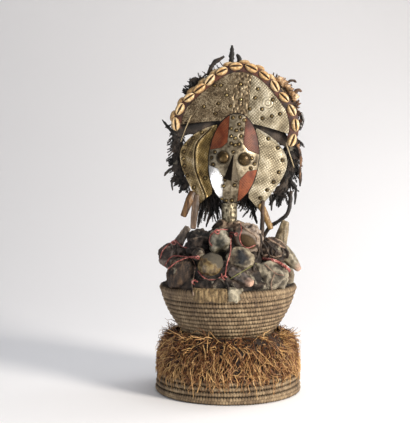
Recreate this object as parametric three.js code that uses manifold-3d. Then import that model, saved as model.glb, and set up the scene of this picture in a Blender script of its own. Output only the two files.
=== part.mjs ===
// Reliquary guardian figure. A carved wooden head, covered with sheet brass and copper and edged with
// cowries and feathers, stands in a bundle of packets, horns and seeds. The bundle fills a coiled bowl
// on a coiled base with a straw fringe.
// Millimetres, +Z up, the face looks along -Y, the origin is the middle of the base's underside.
import * as THREE from 'three';
import { mergeVertices } from 'three/addons/utils/BufferGeometryUtils.js';
import { ConvexGeometry } from 'three/addons/geometries/ConvexGeometry.js';
import Module from 'manifold-3d';

// Clearance between pieces that touch, and how near two points count as one
const GAP = 0.3;
const WELD = 1e-4;

// Coiled baskets: the base stands upside down and carries the bowl's foot
const BASE_RADIUS = 121;
const BASE_TOP_RADIUS = 92;
const BASE_HEIGHT = 92;
const BOWL_FOOT_RADIUS = 71;
const BOWL_RIM_RADIUS = 113;
const BOWL_HEIGHT = 84;
const COIL = 8;
const COIL_RELIEF = 1.3;
const BASKET_SIDES = 16;

// Straw fringe round the waist between the two baskets
const FRINGE_BOTTOM = 31;
const FRINGE_OVER_FOOT = 15;
const FRINGE_THICKNESS = 15;

// Relic bundle: its dome rises this far over the bowl's rim, and the pieces in it have these sizes
const MOUND_HEIGHT = 95;
const PACKET = 46;
const NUT = 34;
const HORN_LENGTH = 52;
const HORN_RADIUS = 11;
const FLAP_THICKNESS = 3;
const FLAP_DROP = 22;
const CORD_RADIUS = 1.5;
const TWIST_RADIUS = 3;

// Wooden figure
const HEAD_HEIGHT = 230;
const HEAD_LEAN = THREE.MathUtils.degToRad(5.5);
const CREST_RADIUS = 97;
const CREST_POINT = 0.055;
const CREST_SKEW = 0.035;
const CREST_THICKNESS = 16;
const FACE_WIDTH = 83;
const FACE_HEIGHT = 148;
const FACE_BULGE = 16;
const LOBE_THICKNESS = 8;
const NECK_RADIUS = 12;
const NECK_LENGTH = 37;
const NECK_SUNK = 20;

// Metal covering, cowries and feathers
const SHEET = 1;
const TACK_RADIUS = 2.9;
const TACK_HEIGHT = 2.2;
const EYE_RADIUS = 10.2;
const NOSE_HEIGHT = 11;
const BAND_WIDTH = 16;
const BAND_THICKNESS = 1.8;
const COWRIES = 14;
const COWRIE_PITCH = THREE.MathUtils.degToRad(14.8);
const COWRIE_TURN = THREE.MathUtils.degToRad(2.5);
const COWRIE_LENGTH = 21.8;
const COWRIE_WIDTH = 15;
const COWRIE_HEIGHT = 6;
const FEATHER_THICKNESS = 2;

// Heights and places that follow
const BOWL_Z = BASE_HEIGHT + GAP;
const RIM_Z = BOWL_Z + BOWL_HEIGHT;
const MOUND_RADIUS = BOWL_RIM_RADIUS - COIL;
const MOUND_TOP_Z = RIM_Z + MOUND_HEIGHT;
const CHIN_Z = MOUND_TOP_Z + NECK_LENGTH;
const CHIN_X = 2;
const PART = HEAD_HEIGHT / 100;
const CREST_X = -2.5;
const CREST_Z = HEAD_HEIGHT - CREST_RADIUS * (1 + CREST_POINT);
const FACE_Z = FACE_HEIGHT / 2;
const FACE_EDGE_Y = -8;
const BACK_Y = FACE_EDGE_Y + 20;
const CREST_EDGE_Y = BACK_Y - 10;
const CREST_FRONT_Y = BACK_Y - CREST_THICKNESS - 2;
const NECK_Y = BACK_Y - 8;
const BAND_INNER = CREST_RADIUS - BAND_WIDTH;

// Further out than any piece, for cutters
const FAR = 2 * HEAD_HEIGHT;

const wasm = await Module();
wasm.setup();

const root = new THREE.Group();
const head = new THREE.Group();
head.position.set(CHIN_X, 0, CHIN_Z);
head.rotation.y = HEAD_LEAN;
head.updateMatrix();
root.add(head);

// Solid made of a closed geometry, with its faces turned outwards
function solid(geometry) {
  const bare = new THREE.BufferGeometry();
  bare.setAttribute('position', geometry.getAttribute('position'));
  bare.setIndex(geometry.index);
  const merged = mergeVertices(bare, WELD);
  const triVerts = new Uint32Array(merged.index.array);
  const vertProperties = merged.attributes.position.array;
  const body = new wasm.Manifold(new wasm.Mesh({ numProp: 3, vertProperties, triVerts }));
  if (body.volume() > 0) return body;
  for (let i = 0; i < triVerts.length; i += 3) {
    [triVerts[i + 1], triVerts[i + 2]] = [triVerts[i + 2], triVerts[i + 1]];
  }
  return new wasm.Manifold(new wasm.Mesh({ numProp: 3, vertProperties, triVerts }));
}

function geometryOf(body) {
  const mesh = body.getMesh();
  const positions = new Float32Array(mesh.numVert * 3);
  for (let i = 0; i < mesh.numVert; i += 1) {
    positions.set(mesh.vertProperties.subarray(i * mesh.numProp, i * mesh.numProp + 3), i * 3);
  }
  const geometry = new THREE.BufferGeometry();
  geometry.setAttribute('position', new THREE.BufferAttribute(positions, 3));
  geometry.setIndex(new THREE.BufferAttribute(new Uint32Array(mesh.triVerts), 1));
  return geometry;
}

function joined(bodies) {
  return bodies.reduce((all, body) => all.add(body));
}

function largest(body) {
  return body.decompose().reduce((most, piece) => (piece.volume() > most.volume() ? piece : most));
}

function addPiece(name, body, colour, finish = {}, parent = root) {
  const geometry = geometryOf(body).toNonIndexed();
  geometry.computeVertexNormals();
  const material = new THREE.MeshStandardMaterial({ color: colour, roughness: 0.8, metalness: 0, ...finish });
  const mesh = new THREE.Mesh(geometry, material);
  mesh.name = name;
  parent.add(mesh);
  mesh.updateWorldMatrix(true, false);
  return mesh;
}

// Repeatable number from 0 to 1, for uneven handwork
function uneven(n) {
  const s = Math.sin(n * 12.9898) * 43758.5453;
  return s - Math.floor(s);
}

function moved(body, matrix) {
  return solid(geometryOf(body).applyMatrix4(matrix));
}

// Round body about the vertical axis from [radius, height] points
function turned(points, sides = BASKET_SIDES) {
  const profile = points.map(([r, z]) => new THREE.Vector2(r, z));
  return new THREE.LatheGeometry(profile, sides).rotateX(Math.PI / 2);
}

// Dome about an axis that points at the viewer, from [radius, depth] points
function dome(points, sides) {
  return new THREE.LatheGeometry(points.map(([r, y]) => new THREE.Vector2(r, y)), sides);
}

// Outline in the plane of the face, cut straight through from one depth to another
function plate(shape, front, back, curveSegments = 6) {
  const depth = back - front;
  const geometry = new THREE.ExtrudeGeometry(shape, { depth, bevelEnabled: false, curveSegments });
  return geometry.rotateX(Math.PI / 2).translate(0, back, 0);
}

function polygon(points) {
  return new THREE.Shape(points.map(([x, z]) => new THREE.Vector2(x, z)));
}

// Bar that follows a curve. The radius is a function of the way along it. With a facing direction
// it may be flat, and its breadth stays square to that direction.
function bar(points, radiusAt, { sides = 6, steps = 6, flat = 1, facing = null, grow = 0 } = {}) {
  const curve = new THREE.CatmullRomCurve3(points.map((p) => new THREE.Vector3(...p)));
  const frames = curve.computeFrenetFrames(steps);
  const geometry = new THREE.CylinderGeometry(1, 1, 1, sides, steps);
  const position = geometry.getAttribute('position');
  const across = new THREE.Vector3();
  const deep = new THREE.Vector3();
  const at = new THREE.Vector3();
  for (let i = 0; i < position.count; i += 1) {
    const t = THREE.MathUtils.clamp(0.5 - position.getY(i), 0, 1);
    if (facing) {
      across.crossVectors(curve.getTangentAt(t), facing).normalize();
      deep.crossVectors(across, curve.getTangentAt(t));
    } else {
      const step = Math.round(t * steps);
      across.copy(frames.normals[step]);
      deep.copy(frames.binormals[step]);
    }
    const radius = radiusAt(t);
    const outwards = grow / Math.cos(Math.PI / sides);
    at.copy(curve.getPointAt(t));
    at.addScaledVector(across, position.getX(i) * (radius + outwards));
    at.addScaledVector(deep, position.getZ(i) * (radius * flat + outwards));
    position.setXYZ(i, at.x, at.y, at.z);
  }
  return geometry;
}

// Lump of a given size: a ball squared a little and dented by slow waves
function lump(size, { seed = 0, square = 1, dent = 0.1, sides = 8, rings = 4 }, grow) {
  const geometry = new THREE.SphereGeometry(1, sides, rings);
  const position = geometry.getAttribute('position');
  const p = new THREE.Vector3();
  for (let i = 0; i < position.count; i += 1) {
    p.fromBufferAttribute(position, i);
    const wave = Math.sin(3.1 * p.x + seed) + Math.sin(2.7 * p.y + 2 * seed)
      + Math.sin(3.7 * p.z + 3 * seed);
    const box = Math.max(Math.abs(p.x), Math.abs(p.y), Math.abs(p.z));
    p.multiplyScalar((1 + dent * wave / 3) / Math.pow(box + 0.15, square - 1));
    const out = 1.5 * grow;
    p.set(p.x * (size[0] / 2 + out), p.y * (size[1] / 2 + out), p.z * (size[2] / 2 + out));
    position.setXYZ(i, p.x, p.y, p.z);
  }
  return geometry;
}

// Baskets

const baseRadius = (z) => BASE_TOP_RADIUS
  + (BASE_RADIUS - BASE_TOP_RADIUS) * Math.cos(THREE.MathUtils.clamp(z / BASE_HEIGHT, 0, 1) * Math.PI / 2);

function bowlRadius(z) {
  const fromRim = 1 - THREE.MathUtils.clamp((z - BOWL_Z) / BOWL_HEIGHT, 0, 1);
  return BOWL_RIM_RADIUS - (BOWL_RIM_RADIUS - BOWL_FOOT_RADIUS) * Math.pow(fromRim, 1.7);
}

// Wall of coils from one height to another: a valley at each seam and a crest between two seams
function coils(radiusAt, from, to, grow = 0) {
  const count = Math.round((to - from) / COIL);
  const pitch = (to - from) / count;
  const points = [];
  for (let i = 0; i < count; i += 1) {
    const z = from + i * pitch;
    points.push([radiusAt(z) - (i ? COIL_RELIEF : 0) + grow, z]);
    points.push([radiusAt(z + pitch / 2) + grow, z + pitch / 2]);
  }
  points.push([radiusAt(to) + grow, to + grow]);
  return points;
}

const VISIBLE_COILS_Z = 5 * COIL;

// Wall of the base over its visible coils, which the fringe covers
function baseWall(grow) {
  const steps = 2;
  const wall = [];
  for (let i = 1; i <= steps; i += 1) {
    const z = VISIBLE_COILS_Z + (BASE_HEIGHT - VISIBLE_COILS_Z) * i / steps;
    wall.push([baseRadius(z) + grow, z]);
  }
  return wall;
}

function baseBasket() {
  const steps = 2;
  const inside = [];
  for (let i = steps; i >= 0; i -= 1) {
    const z = (BASE_HEIGHT - COIL) * i / steps;
    inside.push([baseRadius(z) - COIL - COIL_RELIEF * Math.sign(i), z]);
  }
  const outside = [...coils(baseRadius, 0, VISIBLE_COILS_Z), ...baseWall(0)];
  return solid(turned([[0, BASE_HEIGHT - COIL], ...inside, ...outside, [0, BASE_HEIGHT]]));
}

const bowlInner = (z, grow) => bowlRadius(z) - COIL - COIL_RELIEF - grow;
const BOWL_FLOOR_Z = BOWL_Z + COIL;

function bowlInside(grow) {
  const steps = 2;
  const points = [];
  for (let i = 0; i <= steps; i += 1) {
    const z = BOWL_FLOOR_Z + (RIM_Z - BOWL_FLOOR_Z) * i / steps;
    points.push([bowlInner(z, grow), z + (i === 0 ? grow : 0)]);
  }
  return points;
}

function bowl(grow) {
  const inside = bowlInside(grow).reverse();
  inside[0][1] += grow;
  const outside = coils(bowlRadius, BOWL_Z, RIM_Z, grow);
  outside[0][1] -= grow;
  return solid(turned([[0, BOWL_Z - grow], ...outside, ...inside, [0, BOWL_FLOOR_Z + grow]]));
}

// Skirt of straw: it lies on the base's wall and round the bowl's foot, and its hem is ragged
function strawFringe() {
  const top = BOWL_Z + FRINGE_OVER_FOOT;
  const waist = BASE_TOP_RADIUS + FRINGE_THICKNESS;
  const widest = BASE_RADIUS - 1;
  const outer = [
    [baseRadius(FRINGE_BOTTOM) + 3, FRINGE_BOTTOM],
    [widest, FRINGE_BOTTOM + 24],
    [(waist + widest) / 2 + 2, FRINGE_BOTTOM + 48],
    [BASE_TOP_RADIUS, top],
  ];
  const clear = 2 * GAP;
  const inner = [
    [bowlRadius(top) + clear, top - 2],
    [bowlRadius(BOWL_Z + COIL / 2) + clear, BOWL_Z + COIL / 2],
    ...baseWall(GAP).reverse().map(([r, z]) => [r, z + GAP]),
    [baseRadius(VISIBLE_COILS_Z) + clear, VISIBLE_COILS_Z],
  ];
  const points = [...outer, ...inner, outer[0]];
  const geometry = turned(points);
  const position = geometry.getAttribute('position');
  for (let i = 0; i < position.count; i += 1) {
    const row = i % points.length % (points.length - 1);
    const tuft = Math.floor(i / points.length) % BASKET_SIDES;
    if (row >= outer.length) continue;
    const pull = row === 0 ? 1 : 1 - 0.035 * uneven(tuft + 5 * row);
    const drop = row === 0 ? 6 * uneven(3 * tuft) : 0;
    position.setXYZ(i, position.getX(i) * pull, position.getY(i) * pull, position.getZ(i) + drop);
  }
  return solid(geometry);
}

// Bundle

// Place in the bundle: shares of its radius across and deep, and of its height over the rim
const inBundle = (u, v, w) => [u * MOUND_RADIUS, v * MOUND_RADIUS, RIM_Z + w * MOUND_HEIGHT];

function placed(geometry, at, turn = [0, 0, 0]) {
  geometry.rotateX(turn[0]).rotateY(turn[1]).rotateZ(turn[2]);
  return geometry.translate(...inBundle(...at));
}

function packet(share, at, turn, look) {
  const size = share.map((s) => s * PACKET);
  return (grow) => solid(placed(lump(size, look, grow), at, turn));
}

function nut(share, at, look = {}) {
  const size = share.map((s) => s * NUT);
  return (grow) => solid(placed(lump(size, { dent: 0.03, sides: 8, rings: 5, ...look }, grow), at));
}

// Horn from its foot to its tip, with a bend halfway, blunt or pointed
function horn({ foot, lean, length = 1, radius = 1, tip = 0.35, bend = 0, flat = 0.8 }) {
  const base = new THREE.Vector3(...inBundle(...foot));
  const along = new THREE.Vector3(...lean).normalize();
  const side = new THREE.Vector3(0, 0, 1).cross(along).cross(along).multiplyScalar(-bend * HORN_LENGTH);
  return (grow) => {
    const start = base.clone().addScaledVector(along, -2 * grow);
    const end = base.clone().addScaledVector(along, length * HORN_LENGTH + 2 * grow);
    const middle = start.clone().lerp(end, 0.5).add(side);
    const radiusAt = (t) => HORN_RADIUS * radius * THREE.MathUtils.lerp(1, tip, Math.pow(t, 1.4));
    const facing = new THREE.Vector3(0, 1, 0.01);
    const points = [start, middle, end].map((p) => p.toArray());
    return solid(bar(points, radiusAt, { sides: 7, steps: 4, flat, facing, grow }));
  };
}

const FRONT_FIRST = [
  ['horn_front', 0x6b4a3c, horn({
    foot: [0.05, -0.8, 0.29], lean: [0.62, -0.38, -0.32], length: 0.8, radius: 1.25, tip: 0.5, flat: 1,
  })],
  ['seed_front', 0x8a744e, nut([1.42, 1.3, 1.36], [-0.25, -0.73, 0.38])],
  ['bark_pouch_left', 0x4b3626, packet([1.42, 1.05, 1.36], [-0.66, -0.54, 0.21], [0.1, 0.1, 0.25], {
    seed: 1, square: 1.35,
  })],
  ['clay_packet_right', 0x8b8270, packet([1.5, 1.1, 1.12], [0.62, -0.55, 0.2], [0, 0.12, -0.3], {
    seed: 2, square: 1.4,
  })],
  ['crusted_lump_middle', 0x6a6358, packet([1.12, 0.95, 1], [0.18, -0.68, 0.47], [0, 0.2, 0], { seed: 3 })],
  ['half_nut_upper_right', 0x6e5638, packet([1, 0.88, 1.16], [0.31, -0.47, 0.79], [0, -0.25, 0], {
    dent: 0.05, sides: 8, rings: 5,
  })],
  ['gourd_upper', 0x7a7360, nut([1, 1.05, 1.16], [-0.12, -0.56, 0.76], { dent: 0.08, seed: 4 })],
  ['small_lump_right', 0x5a4c3e, packet([0.5, 0.54, 0.62], [0.93, -0.36, 0.17], [0, 0, 0], {
    seed: 5, sides: 6,
  })],
  ['knob_left', 0x4a4136, packet([0.44, 0.44, 0.4], [-0.44, -0.66, 0.56], [0, 0, 0], { seed: 6, sides: 6 })],
  ['horn_right_tip', 0x8a6a58, horn({
    foot: [0.77, -0.24, 0.6], lean: [0.66, -0.2, -0.6], length: 0.94, radius: 1.6, tip: 0.28, bend: 0.06,
  })],
  ['horn_right_upright', 0x8f8365, horn({
    foot: [0.76, -0.06, 0.42], lean: [0.24, 0, 1], length: 1.26, radius: 1.35, tip: 0.5, bend: 0.05, flat: 0.7,
  })],
  ['horn_left', 0x4a4038, horn({
    foot: [-0.9, -0.2, 0.48], lean: [0.52, 0, 0.85], length: 1.1, radius: 1, tip: 0.6, flat: 0.55,
  })],
  ['packet_upper_left', 0x5b4c3f, packet([1.02, 0.95, 0.9], [-0.86, -0.13, 0.48], [0, 0.35, 0.2], {
    seed: 7, square: 1.3,
  })],
  ['dark_packet_left', 0x2e2620, packet([1.14, 1, 1.06], [-0.42, -0.36, 0.7], [0, 0, 0.3], {
    seed: 8, square: 1.2,
  })],
  ['leather_roll_right', 0x3a2c22, packet([1.32, 0.9, 0.88], [0.68, -0.34, 0.6], [0.2, 0.2, 0], {
    seed: 9, square: 1.2,
  })],
];

// Lumps of the mound itself: three wrapped packets behind, and two that fill up its front
const MOUND_LUMPS = [
  packet([1.2, 1, 1.1], [-0.5, 0.5, 0.42], [0, 0, -0.5], { seed: 10, square: 1.3, sides: 7 }),
  packet([1.3, 0.95, 1.1], [0.1, 0.64, 0.38], [0, 0, 0], { seed: 11, square: 1.3, sides: 7 }),
  packet([1.1, 1, 1], [0.62, 0.36, 0.44], [0, 0, 0.6], { seed: 12, square: 1.3, sides: 7 }),
  packet([1.3, 0.8, 0.9], [-0.28, -0.6, 0.14], [0, 0, 0], { seed: 13, sides: 7 }),
  packet([1, 0.9, 1.1], [0.3, -0.5, 0.4], [0, 0, 0.4], { seed: 14, sides: 7 }),
];

// Mound that holds the packets. It fits the bowl's hollow.
function mound(grow) {
  const inside = bowlInside(GAP);
  const top = [[0.95, 0.12], [0.78, 0.44], [0.45, 0.75], [0.15, 0.96]];
  const profile = [
    [0, inside[0][1]], inside[0], inside[1], inside[inside.length - 1],
    ...top.map(([u, w]) => [u * MOUND_RADIUS + grow, RIM_Z + w * MOUND_HEIGHT + grow]),
    [0, RIM_Z + 0.98 * MOUND_HEIGHT + grow],
  ];
  const geometry = turned(profile);
  const position = geometry.getAttribute('position');
  for (let i = 0; i < position.count; i += 1) {
    const share = Math.max(0, position.getZ(i) - RIM_Z) / MOUND_HEIGHT;
    const angle = Math.atan2(position.getY(i), position.getX(i));
    const swell = 1 + 0.12 * share * (1 - share) * (Math.sin(3 * angle) + Math.sin(5 * angle + 1));
    position.setXYZ(i, position.getX(i) * swell, position.getY(i) * swell, position.getZ(i));
  }
  return joined([solid(geometry), ...MOUND_LUMPS.map((make) => make(grow))]);
}

// Flap that is folded over the bowl's rim between two angles from the front, with a worn lower edge
function flap(from, to, drop, seed) {
  const thick = FLAP_THICKNESS;
  const outer = (z, d) => [bowlRadius(z) + GAP + d, z];
  const low = RIM_Z - drop;
  const inner = bowlInner(RIM_Z, 0) - 6;
  const ring = solid(turned([
    outer(low, 0), outer(RIM_Z - drop / 2, 0), [BOWL_RIM_RADIUS + GAP, RIM_Z + GAP], [inner, RIM_Z + GAP],
    [inner, RIM_Z + GAP + thick], [BOWL_RIM_RADIUS + GAP, RIM_Z + GAP + thick], outer(RIM_Z - 1, thick),
    outer(RIM_Z - drop / 2, thick), outer(low, thick), outer(low, 0),
  ]));
  const steps = 4;
  const edge = [];
  for (let i = 0; i <= steps; i += 1) {
    const angle = THREE.MathUtils.lerp(from, to, i / steps);
    const worn = drop * 0.45 * uneven(seed + i * 5) * (i % steps ? 0.6 : 1);
    edge.push([Math.sin(angle) * BOWL_RIM_RADIUS, low + worn]);
  }
  const left = edge[0][0];
  const right = edge[steps][0];
  const outline = polygon([...edge, [right, RIM_Z + 2 * thick], [left, RIM_Z + 2 * thick]]);
  const front = solid(plate(outline, -2 * BOWL_RIM_RADIUS, 0));
  return ring.intersect(front);
}

// Figure

const onHead = (x, z) => [x * PART, z * PART];

function crescentOutline(grow = 0) {
  const end = 1.25 * CREST_RADIUS;
  const shape = new THREE.Shape();
  shape.moveTo(-end, 49.3 * PART - grow);
  shape.quadraticCurveTo(-23.7 * PART, 57.8 * PART - grow, 0, 59 * PART - grow);
  shape.quadraticCurveTo(23.7 * PART, 57.8 * PART - grow, end, 49.3 * PART - grow);
  shape.lineTo(end, CREST_Z + end);
  shape.lineTo(-end, CREST_Z + end);
  return shape;
}

// Front of the crest at a radius from its middle
const crestFront = (r) => CREST_FRONT_Y + (CREST_EDGE_Y - CREST_FRONT_Y) * Math.pow(r / CREST_RADIUS, 2);
const CREST_RINGS = [0, 0.45 * BAND_INNER, BAND_INNER, CREST_RADIUS];
const CREST_SIDES = 27;

// The crest isn't a true circle: it is drawn out a little at its top and its two ends, and its right
// shoulder is higher than its left one
const drawnOut = (angle) => 1 + CREST_POINT * Math.cos(4 * angle) + CREST_SKEW * Math.sin(2 * angle);

function crestDome(points) {
  const geometry = dome(points, CREST_SIDES);
  const position = geometry.getAttribute('position');
  for (let i = 0; i < position.count; i += 1) {
    const share = drawnOut(Math.atan2(position.getX(i), position.getZ(i)));
    position.setXYZ(i, position.getX(i) * share, position.getY(i), position.getZ(i) * share);
  }
  return solid(geometry.translate(CREST_X, 0, CREST_Z));
}

function crest(grow) {
  const front = CREST_RINGS.map((r) => [r, crestFront(r) - grow]);
  front[front.length - 1][0] += grow;
  const body = crestDome([...front, [CREST_RADIUS + grow, BACK_Y + grow], [0, BACK_Y + grow]]);
  return body.intersect(solid(plate(crescentOutline(grow), -FAR, FAR)));
}

// Leaf-shaped side lobe, side 1 on the right and -1 on the left
const lobeCurves = (side) => [
  new THREE.CubicBezierCurve(...[[14.2, 55.2], [25, 51.7], [38.8, 42.2], [38.8, 31.9]]
    .map(([x, z]) => new THREE.Vector2(...onHead(side * x, z)))),
  new THREE.CubicBezierCurve(...[[38.8, 31.9], [38.8, 21.6], [28.4, 9.5], [22, -3]]
    .map(([x, z]) => new THREE.Vector2(...onHead(side * x, z)))),
];

const lobeMiddle = (side) => new THREE.Vector2(...onHead(side * 25, 28));

function lobeOutline(side, grow = 0) {
  const [upper, lower] = lobeCurves(side);
  const points = [...upper.getPoints(4), ...lower.getPoints(4).slice(1)];
  points.push(new THREE.Vector2(...onHead(side * 13.4, 5.2)), new THREE.Vector2(...onHead(side * 11, 30)));
  const middle = lobeMiddle(side);
  const outwards = (p) => p.clone().sub(middle).setLength(p.distanceTo(middle) + grow).add(middle);
  return new THREE.Shape(points.map(outwards));
}

// Front of a lobe: it sweeps back towards its outer edge
const LOBE_INNER = 10 * PART;
const LOBE_OUTER = 40.5 * PART;
const LOBE_SWEEP = 12;

function lobeFront(x) {
  const share = THREE.MathUtils.clamp((Math.abs(x) - LOBE_INNER) / (LOBE_OUTER - LOBE_INNER), 0, 1.2);
  return CREST_EDGE_Y + LOBE_SWEEP * Math.pow(share, 1.5);
}

// Layer that follows a lobe's front between two depths from it
function lobeLayer(side, from, to) {
  const steps = 3;
  const front = [];
  const back = [];
  for (let i = 0; i <= steps; i += 1) {
    const x = THREE.MathUtils.lerp(LOBE_INNER - 1, LOBE_OUTER, i / steps);
    front.push([side * x, lobeFront(x) + from]);
    back.unshift([side * x, lobeFront(x) + to]);
  }
  const depth = HEAD_HEIGHT;
  const geometry = new THREE.ExtrudeGeometry(polygon([...front, ...back]), { depth, bevelEnabled: false });
  return solid(geometry.translate(0, 0, -depth / 4));
}

function lobe(side, grow) {
  const outline = solid(plate(lobeOutline(side, grow), -FAR, FAR));
  return lobeLayer(side, -grow, LOBE_THICKNESS + grow).intersect(outline);
}

// Front of the face over its middle plane, at a share of the way from its middle to its edge
const faceFront = (share) => FACE_EDGE_Y - FACE_BULGE * (1 - share * share);
const FACE_RINGS = [0, 0.5, 0.85, 1];
const FACE_SIDES = 18;

function faceShare(x, z) {
  return Math.hypot(x / (FACE_WIDTH / 2), (z - FACE_Z) / (FACE_HEIGHT / 2));
}

function faceBody(grow, back) {
  const radius = FACE_WIDTH / 2;
  const front = FACE_RINGS.map((share) => [share * radius, faceFront(share) - grow]);
  front[front.length - 1][0] += Math.min(grow, GAP);
  const geometry = dome([...front, [radius + Math.min(grow, GAP), back], [0, back]], FACE_SIDES);
  return solid(geometry.scale(1, 1, FACE_HEIGHT / FACE_WIDTH).translate(0, 0, FACE_Z));
}

// Raised lozenge on the back of the head
function backLozenge(grow) {
  const half = 13 * PART + grow;
  const y = BACK_Y - 2;
  const rise = BACK_Y + 8 + grow;
  const points = [[-half, y, 32 * PART], [half, y, 32 * PART], [0, y, -2 * PART], [0, y, 72 * PART],
    [0, rise, 20 * PART], [0, rise, 46 * PART]];
  return solid(new ConvexGeometry(points.map((p) => new THREE.Vector3(...p))));
}

const inHead = head.matrix.clone().invert();

function neckBar(radius, from, to, sides = 12) {
  const geometry = new THREE.CylinderGeometry(radius, radius, to - from, sides).rotateX(Math.PI / 2);
  return geometry.translate(CHIN_X, NECK_Y, (from + to) / 2);
}

const NECK_TOP_Z = CHIN_Z + 3 * PART;

function woodenFigure(grow) {
  const neck = neckBar(NECK_RADIUS + grow, MOUND_TOP_Z - NECK_SUNK - grow, NECK_TOP_Z);
  return joined([
    crest(grow), lobe(1, grow), lobe(-1, grow), faceBody(grow, BACK_Y + grow), backLozenge(grow),
    solid(neck.applyMatrix4(inHead)),
  ]);
}

const OVER_WOOD = GAP + SHEET;

// Pointed head of a nail that stands square on a sheet. The surface gives the sheet's depth at a place.
function tack(x, z, surface) {
  const step = 0.5;
  const y = surface(x, z);
  const slopes = [(surface(x + step, z) - y) / step, (surface(x, z + step) - y) / step];
  const normal = new THREE.Vector3(slopes[0], -1, slopes[1]).normalize();
  const sunk = SHEET / 2;
  const height = TACK_HEIGHT + sunk;
  const geometry = new THREE.ConeGeometry(TACK_RADIUS, height, 5).translate(0, height / 2 - sunk, 0);
  geometry.applyQuaternion(new THREE.Quaternion().setFromUnitVectors(new THREE.Vector3(0, 1, 0), normal));
  return solid(geometry.translate(x, y, z));
}

// Sheet over the crest, without its band
function crestSheet(outline) {
  const rings = CREST_RINGS.slice(0, 3);
  const edge = BAND_INNER - 2 * GAP;
  const profile = (over) => rings.map((r) => [Math.min(r, edge), crestFront(r) - over]);
  const shell = crestDome([...profile(OVER_WOOD), ...profile(GAP).reverse()]);
  const face = solid(plate(faceOutline(3 * GAP), -FAR, FAR));
  const crescent = solid(plate(crescentOutline(), -FAR, FAR));
  return shell.intersect(crescent).intersect(solid(plate(outline, -FAR, FAR))).subtract(face);
}

function faceOutline(grow) {
  const points = [];
  for (let i = 0; i < FACE_SIDES; i += 1) {
    const angle = i / FACE_SIDES * 2 * Math.PI;
    const x = Math.sin(angle) * (FACE_WIDTH / 2 + grow);
    points.push([x, FACE_Z + Math.cos(angle) * (FACE_HEIGHT / 2 + grow)]);
  }
  return polygon(points);
}

const crestSurface = (x, z) => crestFront(Math.hypot(x - CREST_X, z - CREST_Z)) - OVER_WOOD;

// Tacks of the crest and the lobes, in hundredths of the head's height
const CREST_TACKS = [
  [-14.3, 83], [-18.7, 82.6], [-9.6, 76.5], [-14.8, 70], [-24.8, 67], [-16, 62.6], [-0.4, 85.2], [0.9, 74.3],
  [12.2, 83], [10.9, 76.5], [16.5, 69.1], [23.5, 76.5], [24, 64.8], [17.4, 62.6], [29.6, 67],
];
const LOBE_TACKS = [
  [-30.4, 44.1], [-35.7, 39.2], [-36.3, 33.8], [-36, 28.5], [-34.5, 22.5], [-31.8, 16.5], [-26.5, 8.7],
  [23.2, 48.5], [30.7, 42.8], [35, 34.4], [33.2, 25.4], [30, 18.1], [26.1, 11.9], [21.7, 5.7],
];

// Those of them that lie between two places across
function tacksBetween(all, from, to, surface) {
  return all.map(([x, z]) => onHead(x, z))
    .filter(([x]) => x > from && x < to)
    .map(([x, z]) => tack(x, z, surface));
}

const STRIP_LEFT = -5 * PART;
const STRIP_RIGHT = 7 * PART;
const upright = (left, right) => polygon([[left, -FAR], [right, -FAR], [right, FAR], [left, FAR]]);

const crestTacks = (from, to) => tacksBetween(CREST_TACKS, from, to, crestSurface);

function crestSheets() {
  const brass = { metalness: 0.6, roughness: 0.5 };
  const left = joined([crestSheet(upright(-FAR, STRIP_LEFT - GAP)), ...crestTacks(-FAR, STRIP_LEFT)]);
  const strip = joined([crestSheet(upright(STRIP_LEFT, STRIP_RIGHT)), ...crestTacks(STRIP_LEFT, STRIP_RIGHT)]);
  const right = joined([crestSheet(upright(STRIP_RIGHT + GAP, FAR)), ...crestTacks(STRIP_RIGHT, FAR)]);
  addPiece('crescent_sheet_left', largest(left), 0x7d7250, brass, head);
  addPiece('crescent_sheet_middle', largest(strip), 0x5c4a35, brass, head);
  addPiece('crescent_sheet_right', largest(right), 0xb5ac96, brass, head);
}

// Seam of the left lobe's two sheets, an S from the face down to the tip
function seamRegion(shift, edge) {
  const route = [[-15, 60], [-18.5, 52], [-27.5, 40], [-27.3, 25.5], [-24, 16], [-18, 4], [-17, -8]];
  const seam = new THREE.SplineCurve(route.map(([x, z]) => new THREE.Vector2(x * PART + shift, z * PART)));
  const points = seam.getPoints(12).map((p) => [p.x, p.y]);
  return solid(plate(polygon([...points, [edge, -8 * PART], [edge, 60 * PART]]), -FAR, FAR));
}

const lobeTacks = (from, to) => tacksBetween(LOBE_TACKS, from, to, (x) => lobeFront(x) - OVER_WOOD);

function lobeSheets() {
  const brass = { metalness: 0.65, roughness: 0.45 };
  const face = solid(plate(faceOutline(3 * GAP), -FAR, FAR));
  const sheet = (side) => lobeLayer(side, -OVER_WOOD, -GAP)
    .intersect(solid(plate(lobeOutline(side), -FAR, FAR)))
    .subtract(face);
  const left = sheet(-1);
  const outer = joined([left.intersect(seamRegion(-GAP, -FAR)), ...lobeTacks(-FAR, 0)]);
  const inner = left.intersect(seamRegion(GAP, FAR));
  const right = joined([sheet(1), ...lobeTacks(0, FAR)]);
  addPiece('lobe_sheet_left_outer', largest(outer), 0x9a8045, brass, head);
  addPiece('lobe_sheet_left_inner', largest(inner), 0xb0924c, brass, head);
  addPiece('lobe_sheet_right', largest(right), 0xb3a57e, brass, head);
}

// Cross of brass over the face: forehead, eye band and chin strip
function crossOutline(grow) {
  const half = [
    [5.6, 70], [5.6, 43], [9.5, 38.8], [20, 36.2], [20, 26.7], [10.3, 24], [5.6, 17.2], [5.2, -6],
  ];
  const corner = ([x, z], side) => {
    const out = z > 60 || z < 0 ? 0 : grow;
    return [side * (x * PART + grow), z * PART + Math.sign(z - 31.5) * out];
  };
  return polygon([...half.map((p) => corner(p, 1)), ...half.reverse().map((p) => corner(p, -1))]);
}

const faceTack = (x, z) => tack(x, z, (u, v) => faceFront(faceShare(u, v)) - OVER_WOOD);

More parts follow.
